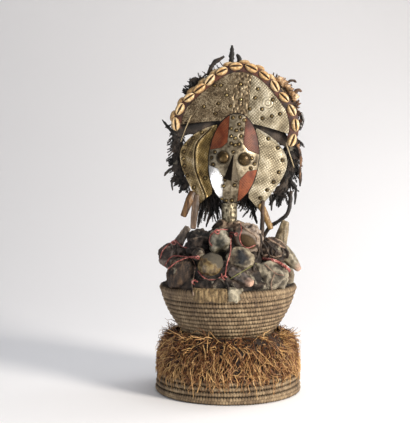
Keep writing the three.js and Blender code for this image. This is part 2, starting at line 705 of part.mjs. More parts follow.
function crossTacks() {
  const tacks = [];
  for (let row = 0; row < 4; row += 1) {
    for (let column = -1; column <= 1; column += 1) {
      tacks.push(faceTack((column * 3.3 + 0.4 * (row % 2)) * PART, (58.5 - 5.4 * row) * PART));
    }
  }
  for (const side of [-1, 1]) {
    for (const angle of [-0.66, 0, 0.66]) {
      const x = side * (EYE_X + 6.4 * PART * Math.cos(angle));
      tacks.push(faceTack(x, EYE_Z + 6.4 * PART * Math.sin(angle)));
    }
    tacks.push(faceTack(side * 2.8 * PART, 3.6 * PART));
  }
  return tacks;
}

const EYE_X = 7.6 * PART;
const EYE_Z = 32.3 * PART;

function faceSheets() {
  const brass = { metalness: 0.6, roughness: 0.5 };
  const shell = faceBody(OVER_WOOD, BACK_Y).subtract(faceBody(GAP, FAR))
    .intersect(solid(plate(faceOutline(-SHEET), -FAR, FACE_EDGE_Y)));
  const cross = solid(plate(crossOutline(0), -FAR, FAR));
  const around = solid(plate(crossOutline(GAP), -FAR, FAR));
  addPiece('face_cross', largest(joined([shell.intersect(cross), ...crossTacks()])), 0x8c8368, brass, head);
  const panels = [
    ['face_panel_upper_left', 0x9a4a2c, -1, 1], ['face_panel_upper_right', 0x6e2f1f, 1, 1],
    ['face_panel_lower_left', 0xd8d2c4, -1, -1], ['face_panel_lower_right', 0x8a3f22, 1, -1],
  ];
  for (const [name, colour, side, up] of panels) {
    const quarter = polygon([
      [0, EYE_Z], [side * FAR, EYE_Z], [side * FAR, EYE_Z + up * FAR], [0, EYE_Z + up * FAR],
    ]);
    const region = solid(plate(quarter, -FAR, FAR));
    addPiece(name, largest(shell.intersect(region).subtract(around)), colour, brass, head);
  }
}

function eyesAndNose() {
  const under = faceBody(OVER_WOOD + GAP, BACK_Y);
  for (const [name, side] of [['eye_left', -1], ['eye_right', 1]]) {
    const y = faceFront(faceShare(EYE_X, EYE_Z)) - OVER_WOOD;
    const ball = new THREE.SphereGeometry(EYE_RADIUS, 9, 5).rotateX(Math.PI / 2).scale(1, 0.62, 1);
    const eye = solid(ball.translate(side * EYE_X, y, EYE_Z)).subtract(under);
    addPiece(name, largest(eye), 0x4a3b24, { metalness: 0.7, roughness: 0.35 }, head);
  }
  const top = 34.3 * PART;
  const base = 17 * PART;
  const surface = (z) => faceFront(faceShare(0, z)) - OVER_WOOD;
  const points = [
    [-0.9 * PART, surface(top) + 3, top], [0.9 * PART, surface(top) + 3, top],
    [0, surface(top) - 0.25 * NOSE_HEIGHT, top - PART],
    [-5.4 * PART, surface(base) + 2.5, base], [5.4 * PART, surface(base) + 2.5, base],
    [0, surface(base) - NOSE_HEIGHT, base + 0.5 * PART],
  ];
  const nose = solid(new ConvexGeometry(points.map((p) => new THREE.Vector3(...p)))).subtract(under);
  addPiece('nose', largest(nose), 0x2b2116, { metalness: 0.5, roughness: 0.5 }, head);
}

// Leather band round the crest's edge, with a row of cowries on its front and one on its rim
function cowrieBand() {
  const out = CREST_RADIUS + GAP;
  const backEdge = BACK_Y - 1;
  const profile = [
    [BAND_INNER, crestFront(BAND_INNER) - GAP - BAND_THICKNESS],
    [out + BAND_THICKNESS, CREST_EDGE_Y - GAP - BAND_THICKNESS],
    [out + BAND_THICKNESS, backEdge], [out, backEdge],
    [out, CREST_EDGE_Y - GAP], [BAND_INNER, crestFront(BAND_INNER) - GAP],
    [BAND_INNER, crestFront(BAND_INNER) - GAP - BAND_THICKNESS],
  ];
  const band = crestDome(profile).intersect(solid(plate(crescentOutline(), -FAR, FAR)));
  const middle = CREST_RADIUS - BAND_WIDTH / 4;
  const shells = [];
  for (let i = 0; i < COWRIES; i += 1) {
    const angle = COWRIE_TURN + (i + 0.5 - COWRIES / 2) * COWRIE_PITCH;
    shells.push(cowrie(angle, middle, crestFront(middle) - GAP - BAND_THICKNESS, false));
    if (i === 0) continue;
    shells.push(cowrie(angle - COWRIE_PITCH / 2, out + BAND_THICKNESS, BACK_Y - 0.45 * COWRIE_WIDTH, true));
  }
  return joined([band, ...shells]);
}

// Share of a cowrie's height that is sunk in its band, and how much narrower the rim's cowries are
const COWRIE_SUNK = 0.3;
const RIM_SHARE = 0.75;

// Cowrie on the crest at an angle from its top, with its long axis along the edge. Its outer side is
// round and its inner side is flat. The rim's cowries look outwards, the others forwards.
function cowrie(angle, radius, y, onRim) {
  const shell = new THREE.SphereGeometry(1, 5, onRim ? 2 : 3).rotateZ(Math.PI / 2);
  const position = shell.getAttribute('position');
  for (let i = 0; i < position.count; i += 1) position.setY(i, Math.min(position.getY(i), COWRIE_SUNK));
  shell.scale(COWRIE_LENGTH / 2, COWRIE_HEIGHT, (onRim ? RIM_SHARE : 1) * COWRIE_WIDTH / 2);
  if (onRim) shell.rotateX(-Math.PI / 2);
  else shell.rotateX(-Math.atan((crestFront(CREST_RADIUS) - crestFront(BAND_INNER)) / BAND_WIDTH));
  const slope = 2 * CREST_SKEW * Math.cos(2 * angle) - 4 * CREST_POINT * Math.sin(4 * angle);
  const r = radius * drawnOut(angle);
  shell.rotateY(angle - Math.atan2(slope, drawnOut(angle)));
  return solid(shell.translate(CREST_X + Math.sin(angle) * r, y, CREST_Z + Math.cos(angle) * r));
}

// Feathers, pendants and what hangs at the sides. Places on the head are hundredths of its height
// across and up from the chin, and millimetres behind its back.

const behind = (x, z, y) => [x * PART, BACK_Y + y, z * PART];

function feather(points, width, grow) {
  const shape = (t) => Math.max(0.14, Math.pow(Math.sin(Math.PI * (0.1 + 0.88 * t)), 0.7)) * width / 2;
  const facing = new THREE.Vector3(0, 1, 0);
  return solid(bar(points, shape, { sides: 3, steps: 2, flat: FEATHER_THICKNESS / width, facing, grow }));
}

// Feathers that leave a strip of hide one after the other. A web of the same hide may close the gap
// between the crest and the lobe.
function bunch({ spine, strip, count, first, last, width, seed, web }) {
  return (grow) => {
    const points = spine.map((p) => behind(...p));
    const facing = new THREE.Vector3(0, 1, 0);
    const hide = solid(bar(points, () => strip / 2, { sides: 4, steps: 3, flat: 0.45, facing, grow }));
    const curve = new THREE.CatmullRomCurve3(points.map((p) => new THREE.Vector3(...p)));
    const feathers = [];
    for (let i = 0; i < count; i += 1) {
      const t = (i + 0.5) / count;
      const from = curve.getPoint(t);
      const size = 0.75 + 0.45 * uneven(seed + i);
      const dx = THREE.MathUtils.lerp(first[0], last[0], t) * PART * size;
      const dz = THREE.MathUtils.lerp(first[1], last[1], t) * PART * size;
      const curl = 0.25 * (uneven(seed + i * 7) - 0.3);
      const middle = [from.x + dx * 0.5 - dz * curl, from.y + 2 * uneven(i), from.z + dz * 0.5 + dx * curl];
      const tip = [from.x + dx, from.y + 3 * (uneven(seed + i * 3) - 0.3), from.z + dz];
      feathers.push(feather([from.toArray(), middle, tip], width, grow));
    }
    if (!web) return joined([hide, ...feathers]);
    const route = web.map((p) => behind(...p));
    const strap = bar(route, () => 9, { sides: 4, steps: 2, flat: 0.35, facing, grow });
    return joined([hide, ...feathers, solid(strap)]);
  };
}

const FEATHERS = [
  ['feathers_left', 0x14110e, bunch({
    spine: [[-43, 57, 3], [-43.5, 46, 7], [-42.3, 32, 13], [-38.5, 18, 13], [-32, 7, 9]], strip: 9,
    count: 5, first: [-8, -9], last: [-3, -8], width: 17, seed: 1,
    web: [[-43.5, 48, 6], [-34, 50.5, -2], [-13, 56, -7]],
  })],
  ['feathers_under_left', 0x100e0c, bunch({
    spine: [[-19, 7, 4], [-13, 7, 4], [-7, 4, 4]], strip: 10,
    count: 3, first: [-3, -24], last: [1, -17], width: 14, seed: 2,
  })],
  ['feathers_under_right', 0x100e0c, bunch({
    spine: [[7, 3, 4], [13, 7, 4], [19, 5, 4]], strip: 10,
    count: 3, first: [0, -7], last: [2, -15], width: 14, seed: 3,
  })],
  ['feathers_right', 0x1a1512, bunch({
    spine: [[40, 55, 3], [40.5, 45, 7], [42, 32, 13], [40, 20, 13], [34, 9, 9]], strip: 10,
    count: 5, first: [5.5, -13], last: [-1.5, -12], width: 17, seed: 4,
    web: [[40.5, 47, 6], [32, 50, -2], [13, 56, -7]],
  })],
  ['feathers_top', 0x12100e, bunch({
    spine: [[-26, 86, 2], [-16, 92, 2], [-6, 93, 2]], strip: 8,
    count: 2, first: [7, 16], last: [-3, 22], width: 9, seed: 5,
  })],
  ['feathers_upper_left', 0x12100e, bunch({
    spine: [[-40, 66, 2], [-35, 76, 2], [-28, 85, 2]], strip: 8,
    count: 3, first: [-6, 5], last: [-6, 8], width: 9, seed: 6,
  })],
  ['feather_tuft_right', 0x9a6a48, bunch({
    spine: [[22, 90, 2], [32, 84, 2], [39, 74, 2], [41.2, 63, 3]], strip: 8,
    count: 4, first: [5, 8], last: [3.6, 1], width: 13, seed: 7,
  })],
];

const worldOfHead = (x, z, y) => new THREE.Vector3(x * PART, y, z * PART).applyMatrix4(head.matrix);

// Flattened tube that hangs from a lobe: its top leans on the lobe's sheet
function pendant(side, from, to, width) {
  return (grow) => {
    const y = lobeFront(from[0] * PART) - OVER_WOOD;
    const halfway = [(from[0] + to[0]) / 2, (from[1] + to[1]) / 2, y - width / 3];
    const route = [worldOfHead(...from, y), worldOfHead(...halfway), worldOfHead(...to, y - width / 3)];
    const shape = (t) => (width / 2) * (0.75 + 0.3 * Math.sin(Math.PI * Math.min(1, t + 0.15)));
    const facing = new THREE.Vector3(0, 1, 0);
    const points = route.map((p) => p.toArray());
    return solid(bar(points, shape, { sides: 6, steps: 3, flat: 0.6, facing, grow }));
  };
}

// Bar between two ends that gets thinner, through middle points
function trail(points, from, to, flat = 0.8) {
  return (grow) => solid(bar(points, (t) => THREE.MathUtils.lerp(from, to, t), {
    sides: 5, steps: 5, flat, facing: new THREE.Vector3(0, 1, 0.02), grow,
  }));
}

function hangings() {
  const tailTop = worldOfHead(41.5, 12, BACK_Y + 14);
  const tailEnd = new THREE.Vector3(...inBundle(0.6, -0.1, 0.86));
  const tailLow = new THREE.Vector3(...inBundle(0.57, -0.12, 0.72));
  const elbow = tailTop.clone().lerp(tailEnd, 0.45).add(new THREE.Vector3(10, 0, -3));
  const stemTop = worldOfHead(24, 4, lobeFront(24 * PART) - OVER_WOOD - 1);
  const stemEnd = new THREE.Vector3(...inBundle(0.52, -0.2, 0.74));
  const clawTop = worldOfHead(42.6, 69.5, BACK_Y + 4);
  const clawMiddle = worldOfHead(44.4, 64, BACK_Y + 5);
  const clawFoot = worldOfHead(42, 57.5, BACK_Y + 4);
  const path = (...points) => points.map((p) => p.toArray());
  return [
    ['pendant_left', 0x9a6b35, pendant(-1, [-27, 5.5], [-32, -12.5], 12.5)],
    ['pendant_left_inner', 0x9c7e6b, pendant(-1, [-24, 3.5], [-24.2, -20.5], 11.5)],
    ['pendant_right', 0xa97d3f, pendant(1, [22.5, 1.5], [31.5, -15.5], 11)],
    ['stem_right', 0x3a2c22, trail(path(stemTop, stemTop.clone().lerp(stemEnd, 0.5), stemEnd), 2.6, 3.4)],
    ['tail_right', 0x241d18, trail(path(tailTop, elbow, tailEnd, tailLow), 5.5, 4)],
    ['claw_right', 0x1c1a18, trail(path(clawTop, clawMiddle, clawFoot), 2, 5)],
  ];
}

// Cords

// Cord over the bundle's front: shares of its radius across and of its height up, and what lies
// under each point sets how far forward it runs
function drapedCord(shares, radius, under) {
  const route = shares.map(([u, w]) => new THREE.Vector2(u * MOUND_RADIUS, w * MOUND_HEIGHT));
  const curve = new THREE.SplineCurve(route);
  const steps = 7;
  const caster = new THREE.Raycaster();
  const found = [];
  for (const p of curve.getSpacedPoints(steps)) {
    caster.set(new THREE.Vector3(p.x, -2 * BASE_RADIUS, RIM_Z + p.y), new THREE.Vector3(0, 1, 0));
    const [hit] = caster.intersectObjects(under);
    if (hit) found.push([p.x, hit.point.y - 1.7 * radius - 2 * GAP, RIM_Z + p.y]);
  }
  for (let pass = 0; pass < 3; pass += 1) {
    for (let i = 1; i < found.length - 1; i += 1) {
      found[i][1] = Math.min(found[i][1], (found[i - 1][1] + found[i + 1][1]) / 2);
    }
  }
  return (grow) => solid(bar(found, () => radius, { sides: 4, steps, grow }));
}

const CORDS = [
  ['cord_left_upper', CORD_RADIUS, [[-1.04, 0.42], [-0.98, 0.62], [-0.86, 0.68], [-0.72, 0.62]]],
  ['cord_left_lower', CORD_RADIUS, [[-1, 0.26], [-0.86, 0.42], [-0.66, 0.5], [-0.48, 0.52]]],
  ['cord_seed', CORD_RADIUS, [[-0.5, 0.36], [-0.5, 0.16], [-0.25, 0.1], [0, 0.14]]],
  ['cord_middle', CORD_RADIUS, [[0.02, 0.86], [0.05, 0.62], [0, 0.4], [0.02, 0.2]]],
  ['cord_nut', CORD_RADIUS, [[0.1, 0.94], [0.12, 0.74], [0.26, 0.6], [0.48, 0.66]]],
  ['cord_right_thick', TWIST_RADIUS, [[0.5, 0.44], [0.66, 0.48], [0.82, 0.42], [0.92, 0.28]]],
];

// Neck

function neckSheet() {
  const inner = NECK_RADIUS + GAP;
  const low = MOUND_TOP_Z - 4;
  const high = CHIN_Z + 2;
  const ring = [[inner, low], [inner + SHEET, low], [inner + SHEET, high], [inner, high], [inner, low]];
  const face = moved(faceBody(OVER_WOOD + GAP, BACK_Y + GAP), head.matrix);
  const wood = moved(backLozenge(GAP), head.matrix);
  return largest(solid(turned(ring, 12).translate(CHIN_X, NECK_Y, 0)).subtract(face).subtract(wood));
}

// Leather wound round the neck's foot
function neckWrap(grow) {
  const sides = 7;
  const inner = (NECK_RADIUS + OVER_WOOD + 2 * GAP) / Math.cos(Math.PI / sides);
  const low = MOUND_TOP_Z - 14;
  const profile = [
    [inner, low], [inner + 15, low], [inner + 10, low + 14], [inner + 3, low + 20], [inner, low + 20],
  ];
  const geometry = turned([...profile, profile[0]], sides);
  const position = geometry.getAttribute('position');
  for (let i = 0; i < position.count; i += 1) {
    const row = i % (profile.length + 1) % profile.length;
    const corner = Math.floor(i / (profile.length + 1)) % sides;
    const out = row === 0 || row === 4 ? 0 : grow + 5 * (uneven(corner + row) - 0.5);
    const radius = profile[row][0];
    const up = row > 1 ? grow + 4 * (uneven(corner + 4) - 0.5) : 0;
    position.setXYZ(i, position.getX(i) * (1 + out / radius), position.getY(i) * (1 + out / radius),
      position.getZ(i) + up);
  }
  return solid(geometry.translate(CHIN_X, NECK_Y, 0));
}

// Assembly

addPiece('base_basket', baseBasket(), 0x8c7755);
addPiece('bowl_basket', bowl(0), 0x8c7755);
addPiece('straw_fringe', strawFringe(), 0xa26a2e, { roughness: 1 });

addPiece('wooden_figure', woodenFigure(0), 0x3a2a1c, {}, head);
crestSheets();
lobeSheets();
faceSheets();
eyesAndNose();
addPiece('cowrie_band', cowrieBand(), 0xe0c08c, { roughness: 0.5 }, head);
addPiece('neck_sheet', neckSheet(), 0x9a8f6e, { metalness: 0.6, roughness: 0.5 });

// Each loose piece is cut by what was laid before it
const laid = [bowl(GAP), moved(woodenFigure(GAP), head.matrix), solid(neckBar(
  NECK_RADIUS + OVER_WOOD + GAP, MOUND_TOP_Z - NECK_SUNK - GAP, CHIN_Z,
))];
const bundleMeshes = [];

function lay(name, colour, make, finish = {}) {
  const body = largest(laid.reduce((rest, other) => rest.subtract(other), make(0)));
  laid.push(make(GAP));
  return addPiece(name, body, colour, finish);
}

bundleMeshes.push(lay('bundle_pack', 0x3c3128, mound));
bundleMeshes.push(lay('neck_wrap', 0x4a3a2c, neckWrap));
for (const [name, colour, make] of FRONT_FIRST) bundleMeshes.push(lay(name, colour, make));
bundleMeshes.push(lay('bark_flap_rim', 0x8a6f4c, () => flap(-0.5, -0.01, FLAP_DROP, 3)));
bundleMeshes.push(lay('crusted_flap_rim', 0x8a8372, () => flap(0.02, 0.2, FLAP_DROP * 0.8, 5)));

const inFront = moved(woodenFigure(OVER_WOOD + GAP), head.matrix);
laid.push(inFront);
for (const [name, colour, make] of hangings()) lay(name, colour, make);
for (const [name, colour, make] of FEATHERS) {
  lay(name, colour, (grow) => moved(make(grow), head.matrix), { roughness: 0.7 });
}
for (const [name, radius, shares] of CORDS) lay(name, 0xc9544a, drapedCord(shares, radius, bundleMeshes));

export default root;
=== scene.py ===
import math
import random

import bmesh
import bpy
import numpy as np
from mathutils import Matrix, Vector, geometry, kdtree, noise
from mathutils.bvhtree import BVHTree


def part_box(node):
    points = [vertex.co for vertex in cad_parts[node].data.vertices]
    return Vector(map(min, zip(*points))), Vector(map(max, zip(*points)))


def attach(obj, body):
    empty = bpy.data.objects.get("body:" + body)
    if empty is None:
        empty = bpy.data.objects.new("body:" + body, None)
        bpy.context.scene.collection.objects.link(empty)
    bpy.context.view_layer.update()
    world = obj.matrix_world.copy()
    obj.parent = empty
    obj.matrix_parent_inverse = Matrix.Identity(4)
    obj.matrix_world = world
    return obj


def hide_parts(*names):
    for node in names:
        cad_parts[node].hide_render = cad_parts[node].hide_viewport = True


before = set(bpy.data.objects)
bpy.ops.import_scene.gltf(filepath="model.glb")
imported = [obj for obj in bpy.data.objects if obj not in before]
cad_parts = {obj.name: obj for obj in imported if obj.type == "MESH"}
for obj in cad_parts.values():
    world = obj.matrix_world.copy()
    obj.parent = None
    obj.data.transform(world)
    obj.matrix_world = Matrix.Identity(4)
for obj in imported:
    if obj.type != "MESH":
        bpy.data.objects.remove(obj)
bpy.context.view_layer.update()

bl_info = {
    "name": "Reliquary guardian figure",
    "version": (1, 0, 0),
    "blender": (4, 5, 0),
    "location": "3D View > Sidebar > Figure",
    "description": "A metal-covered guardian head in its relic bundle, bowl basket and fringed base",
    "category": "Object",
}

MM = 0.001
BODY = "root"

# Sizes and places taken from the frame
BASE_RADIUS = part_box("base_basket")[1].y
BASE_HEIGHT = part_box("base_basket")[1].z
BOWL_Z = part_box("bowl_basket")[0].z
RIM_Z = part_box("bowl_basket")[1].z
RIM_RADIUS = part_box("bowl_basket")[1].y

# The camera's place, and how many degrees it looks down and to the left
VIEWPOINT = Vector((0.0, -1.5675, 0.37125))
VIEW_DOWN = 2.8
VIEW_LEFT = 1.393

# Shapes of the two baskets that a box doesn't give
BASE_TOP_RADIUS = 92 * MM
BOWL_FOOT_RADIUS = 71 * MM
RIM_ROLL_RADIUS = 6.2 * MM

# Relic bundle
MOUND_HEIGHT = 95 * MM
MOUND_TOP_Z = RIM_Z + MOUND_HEIGHT

# The head: its own frame starts at the chin and leans to the right
NECK_LENGTH = 37 * MM
CHIN = Vector((2 * MM, 0.0, MOUND_TOP_Z + NECK_LENGTH))
HEAD = Matrix.Translation(CHIN) @ Matrix.Rotation(math.radians(5.5), 4, "Y")
HEAD_HEIGHT = 230 * MM
PART = HEAD_HEIGHT / 100
CREST_RADIUS = 97 * MM
CREST_POINT = 0.055
CREST_SKEW = 0.035
CREST_X = -2.5 * MM
CREST_Z = HEAD_HEIGHT - CREST_RADIUS * (1 + CREST_POINT)
BAND_WIDTH = 16 * MM
BAND_INNER = CREST_RADIUS - 0.8 * BAND_WIDTH
FACE_WIDTH = 83 * MM
FACE_HEIGHT = 148 * MM
FACE_BULGE = 16 * MM
FACE_EDGE_Y = -8 * MM
BACK_Y = 12 * MM
CREST_EDGE_Y = 2 * MM
CREST_FRONT_Y = -6 * MM
SHEET = 1 * MM
OVER_WOOD = 1.3 * MM
SHEET_GAP = 0.6 * MM
FACE_GAP = 0.9 * MM
# Ring of painted shadow round each tack: where it ends, and where it is full
TACK_RING = (4.3 * MM, 3.2 * MM)
TACK_DENT = 0.5 * MM
EYE_X = 7.6 * PART
EYE_Z = 32.3 * PART
EYE_RADIUS = 10.2 * MM


# Colours

def linear(code):
    """Linear colour with alpha from an sRGB hex code."""
    shares = [int(code[i:i + 2], 16) / 255 for i in (1, 3, 5)]
    return (*[s / 12.92 if s <= 0.04045 else ((s + 0.055) / 1.055) ** 2.4 for s in shares], 1.0)


def shades(codes):
    """Linear colours from several codes in one string."""
    return [linear(code) for code in codes.split()]


def ramp_between(value, low, high):
    """0 at low and 1 at high, and straight between them."""
    return min(1.0, max(0.0, (value - low) / (high - low)))


# Kinds of nodes that the trees use most
MATH = "ShaderNodeMath"
VECTOR_MATH = "ShaderNodeVectorMath"
MAP_RANGE = "ShaderNodeMapRange"
XYZ = "ShaderNodeCombineXYZ"
NOISE = "ShaderNodeTexNoise"
RANDOM = "FunctionNodeRandomValue"
ATTRIBUTE = "GeometryNodeInputNamedAttribute"
STORE = "GeometryNodeStoreNamedAttribute"
INSTANCES = "GeometryNodeInstanceOnPoints"
CIRCLE = "GeometryNodeCurvePrimitiveCircle"
TO_MESH = "GeometryNodeCurveToMesh"


# Nodes and objects

def add(tree, kind, inputs=None, **settings):
    """Add a node. Settings are its properties. inputs gives each socket a value, another node's output,
    a node, whose first output it takes, or a list of what is joined there."""
    node = tree.nodes.new(kind)
    for name, value in settings.items():
        setattr(node, name, value)
    for socket, value in (inputs or {}).items():
        for source in value if isinstance(value, list) else [value]:
            source = source.outputs[0] if isinstance(source, bpy.types.Node) else source
            if isinstance(source, bpy.types.NodeSocket):
                tree.links.new(source, node.inputs[socket])
            else:
                node.inputs[socket].default_value = source
    return node


def linked(name, data):
    """New object in the scene for a mesh, a lamp or a camera."""
    item = bpy.data.objects.new(name, data)
    bpy.context.scene.collection.objects.link(item)
    return item


def mesh_object(name, vertices, faces, edges=()):
    mesh = bpy.data.meshes.new(name)
    mesh.from_pydata([tuple(v) for v in vertices], edges, faces)
    mesh.update()
    return linked(name, mesh)


def tube_faces(steps, each):
    """Faces of a tube without its ends: so many steps along, with so many points round it."""
    return [(i * each + j, i * each + (j + 1) % each, (i + 1) * each + (j + 1) % each, (i + 1) * each + j)
            for i in range(steps) for j in range(each)]


def ring_faces(steps, each):
    """Faces of a tube that closes in a ring."""
    count = steps * each
    return [(a, d % count, c % count, b) for a, b, c, d in tube_faces(steps, each)]


def shell_faces(rings, each, pointed=True):
    """Faces of a closed shell: a first point, rings of points, and a last point or a flat end."""
    faces = [(0, 1 + j, 1 + (j + 1) % each) for j in range(each)]
    for i in range(rings - 1):
        a, b = 1 + i * each, 1 + (i + 1) * each
        faces += [(a + j, b + j, b + (j + 1) % each, a + (j + 1) % each) for j in range(each)]
    last = 1 + (rings - 1) * each
    if pointed:
        return faces + [(last + j, last + each, last + (j + 1) % each) for j in range(each)]
    return faces + [tuple(last + j for j in reversed(range(each)))]


def evaluated(piece):
    """Bake a piece's modifiers into a plain mesh on the same object."""
    graph = bpy.context.evaluated_depsgraph_get()
    mesh = bpy.data.meshes.new_from_object(
        piece.evaluated_get(graph), preserve_all_data_layers=True, depsgraph=graph)
    old = piece.data
    piece.modifiers.clear()
    piece.data = mesh
    bpy.data.meshes.remove(old)
    return piece


def with_modifier(piece, kind, **settings):
    modifier = piece.modifiers.new(kind.title(), kind)
    for name, value in settings.items():
        setattr(modifier, name, value)
    return evaluated(piece)


def point_values(mesh, name, values, kind="FLOAT"):
    """Store one value for each point of a mesh as a named attribute."""
    attribute = mesh.attributes.new(name, kind, "POINT")
    field = "vector" if kind == "FLOAT_VECTOR" else "value"
    attribute.data.foreach_set(field, np.asarray(values, np.float32).ravel())


def finished(piece, material, slot, *nodes, sharp=50):
    """Give a piece its material and its place in the frame: what it rides on, and what it stands for."""
    piece.data.materials.clear()
    piece.data.materials.append(material)
    piece.data.shade_smooth()
    if sharp:
        piece.data.set_sharp_from_angle(angle=math.radians(sharp))
    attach(piece, BODY)
    if nodes:
        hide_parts(*nodes)
    return piece


def moved(piece, matrix):
    piece.data.transform(matrix)
    piece.data.update()
    return piece


def pushed(piece, change):
    """Move each point of a piece along its normal, by the height that change gives for its place."""
    rows = [(vertex.co.copy(), vertex.normal.copy()) for vertex in piece.data.vertices]
    moved_rows = [at + normal * change(at) for at, normal in rows]
    piece.data.vertices.foreach_set("co", np.asarray(moved_rows, np.float32).ravel())
    piece.data.update()
    return piece


def joined(name, pieces):
    """One object made of several, with their attributes."""
    with bpy.context.temp_override(active_object=pieces[0], selected_editable_objects=pieces):
        bpy.ops.object.join()
    pieces[0].name = name
    return pieces[0]


# Geometry Nodes trees

def new_tree(name, sockets):
    """Empty geometry tree with a geometry going through it and these further inputs."""
    tree = bpy.data.node_groups.new(name, "GeometryNodeTree")
    tree.interface.new_socket("Geometry", in_out="INPUT", socket_type="NodeSocketGeometry")
    tree.interface.new_socket("Geometry", in_out="OUTPUT", socket_type="NodeSocketGeometry")
    for label, kind in sockets.items():
        tree.interface.new_socket(label, in_out="INPUT", socket_type=f"NodeSocket{kind}")
    return tree, add(tree, "NodeGroupInput").outputs


def close_tree(tree, last, material):
    """End a tree: realize its instances, set the material and hand the geometry out."""
    real = add(tree, "GeometryNodeRealizeInstances", {"Geometry": last})
    coated = add(tree, "GeometryNodeSetMaterial", {"Geometry": real, "Material": material})
    add(tree, "NodeGroupOutput", {"Geometry": coated})
    return tree


def grown(guide, tree, **values):
    """Run a tree on a guide object with its inputs set, and keep the result as the object's plain mesh."""
    modifier = guide.modifiers.new("Grown", "NODES")
    modifier.node_group = tree
    for item in tree.interface.items_tree:
        if item.in_out == "INPUT" and item.name.replace(" ", "_") in values:
            modifier[item.identifier] = values[item.name.replace(" ", "_")]
    return evaluated(guide)


def coil_tree():
    """Coiled basketry: a cane that follows the guide, wound with slanting strips."""
    tree, given = new_tree("Wound coil", {
        "Strip": "Object", "Strip spacing": "Float", "Slant": "Float", "Material": "Material",
    })
    path = add(tree, "GeometryNodeMeshToCurve", {"Mesh": given["Geometry"]})
    upright = add(tree, "GeometryNodeSetCurveNormal", {"Curve": path}, mode="Z_UP")
    thick = add(tree, ATTRIBUTE, {"Name": "thick"})
    section = add(tree, CIRCLE, {"Resolution": 8, "Radius": 0.93})
    cane = add(tree, TO_MESH, {
        "Curve": upright, "Profile Curve": section, "Scale": thick, "Fill Caps": True})
    # The cane shows only in the gaps between the strips, and it is painted near black there as their shade
    cane = add(tree, STORE, {"Geometry": cane, "Name": "coat", "Value": 1.0})
    steps = add(tree, "GeometryNodeCurveToPoints", {
        "Curve": upright, "Length": given["Strip spacing"]}, mode="LENGTH")
    wobble = add(tree, RANDOM, {2: -0.12, 3: 0.12, "Seed": 3})
    lean = add(tree, MATH, {0: given["Slant"], 1: wobble.outputs[1]}, operation="ADD")
    euler = add(tree, XYZ, {"X": lean})
    turn = add(tree, "FunctionNodeEulerToRotation", {"Euler": euler})
    turned = add(tree, "FunctionNodeRotateRotation", {
        "Rotation": steps.outputs["Rotation"], "Rotate By": turn}, rotation_space="LOCAL")
    size = add(tree, RANDOM, {2: 0.95, 3: 1.07, "Seed": 5})
    across = add(tree, MATH, {0: thick, 1: size.outputs[1]}, operation="MULTIPLY")
    scale = add(tree, XYZ, {"X": across, "Y": across, "Z": 1.0})
    strip = add(tree, "GeometryNodeObjectInfo", {"Object": given["Strip"]})
    wound = add(tree, INSTANCES, {
        "Points": steps.outputs["Points"], "Instance": strip.outputs["Geometry"],
        "Rotation": turned, "Scale": scale})
    tone = add(tree, RANDOM, {2: 0.25, 3: 1.0, "Seed": 8})
    toned = add(tree, STORE, {
        "Geometry": wound, "Name": "tone", "Value": tone.outputs[1]}, domain="INSTANCE")
    both = add(tree, "GeometryNodeJoinGeometry", {"Geometry": [toned, cane]})
    return close_tree(tree, both, given["Material"])


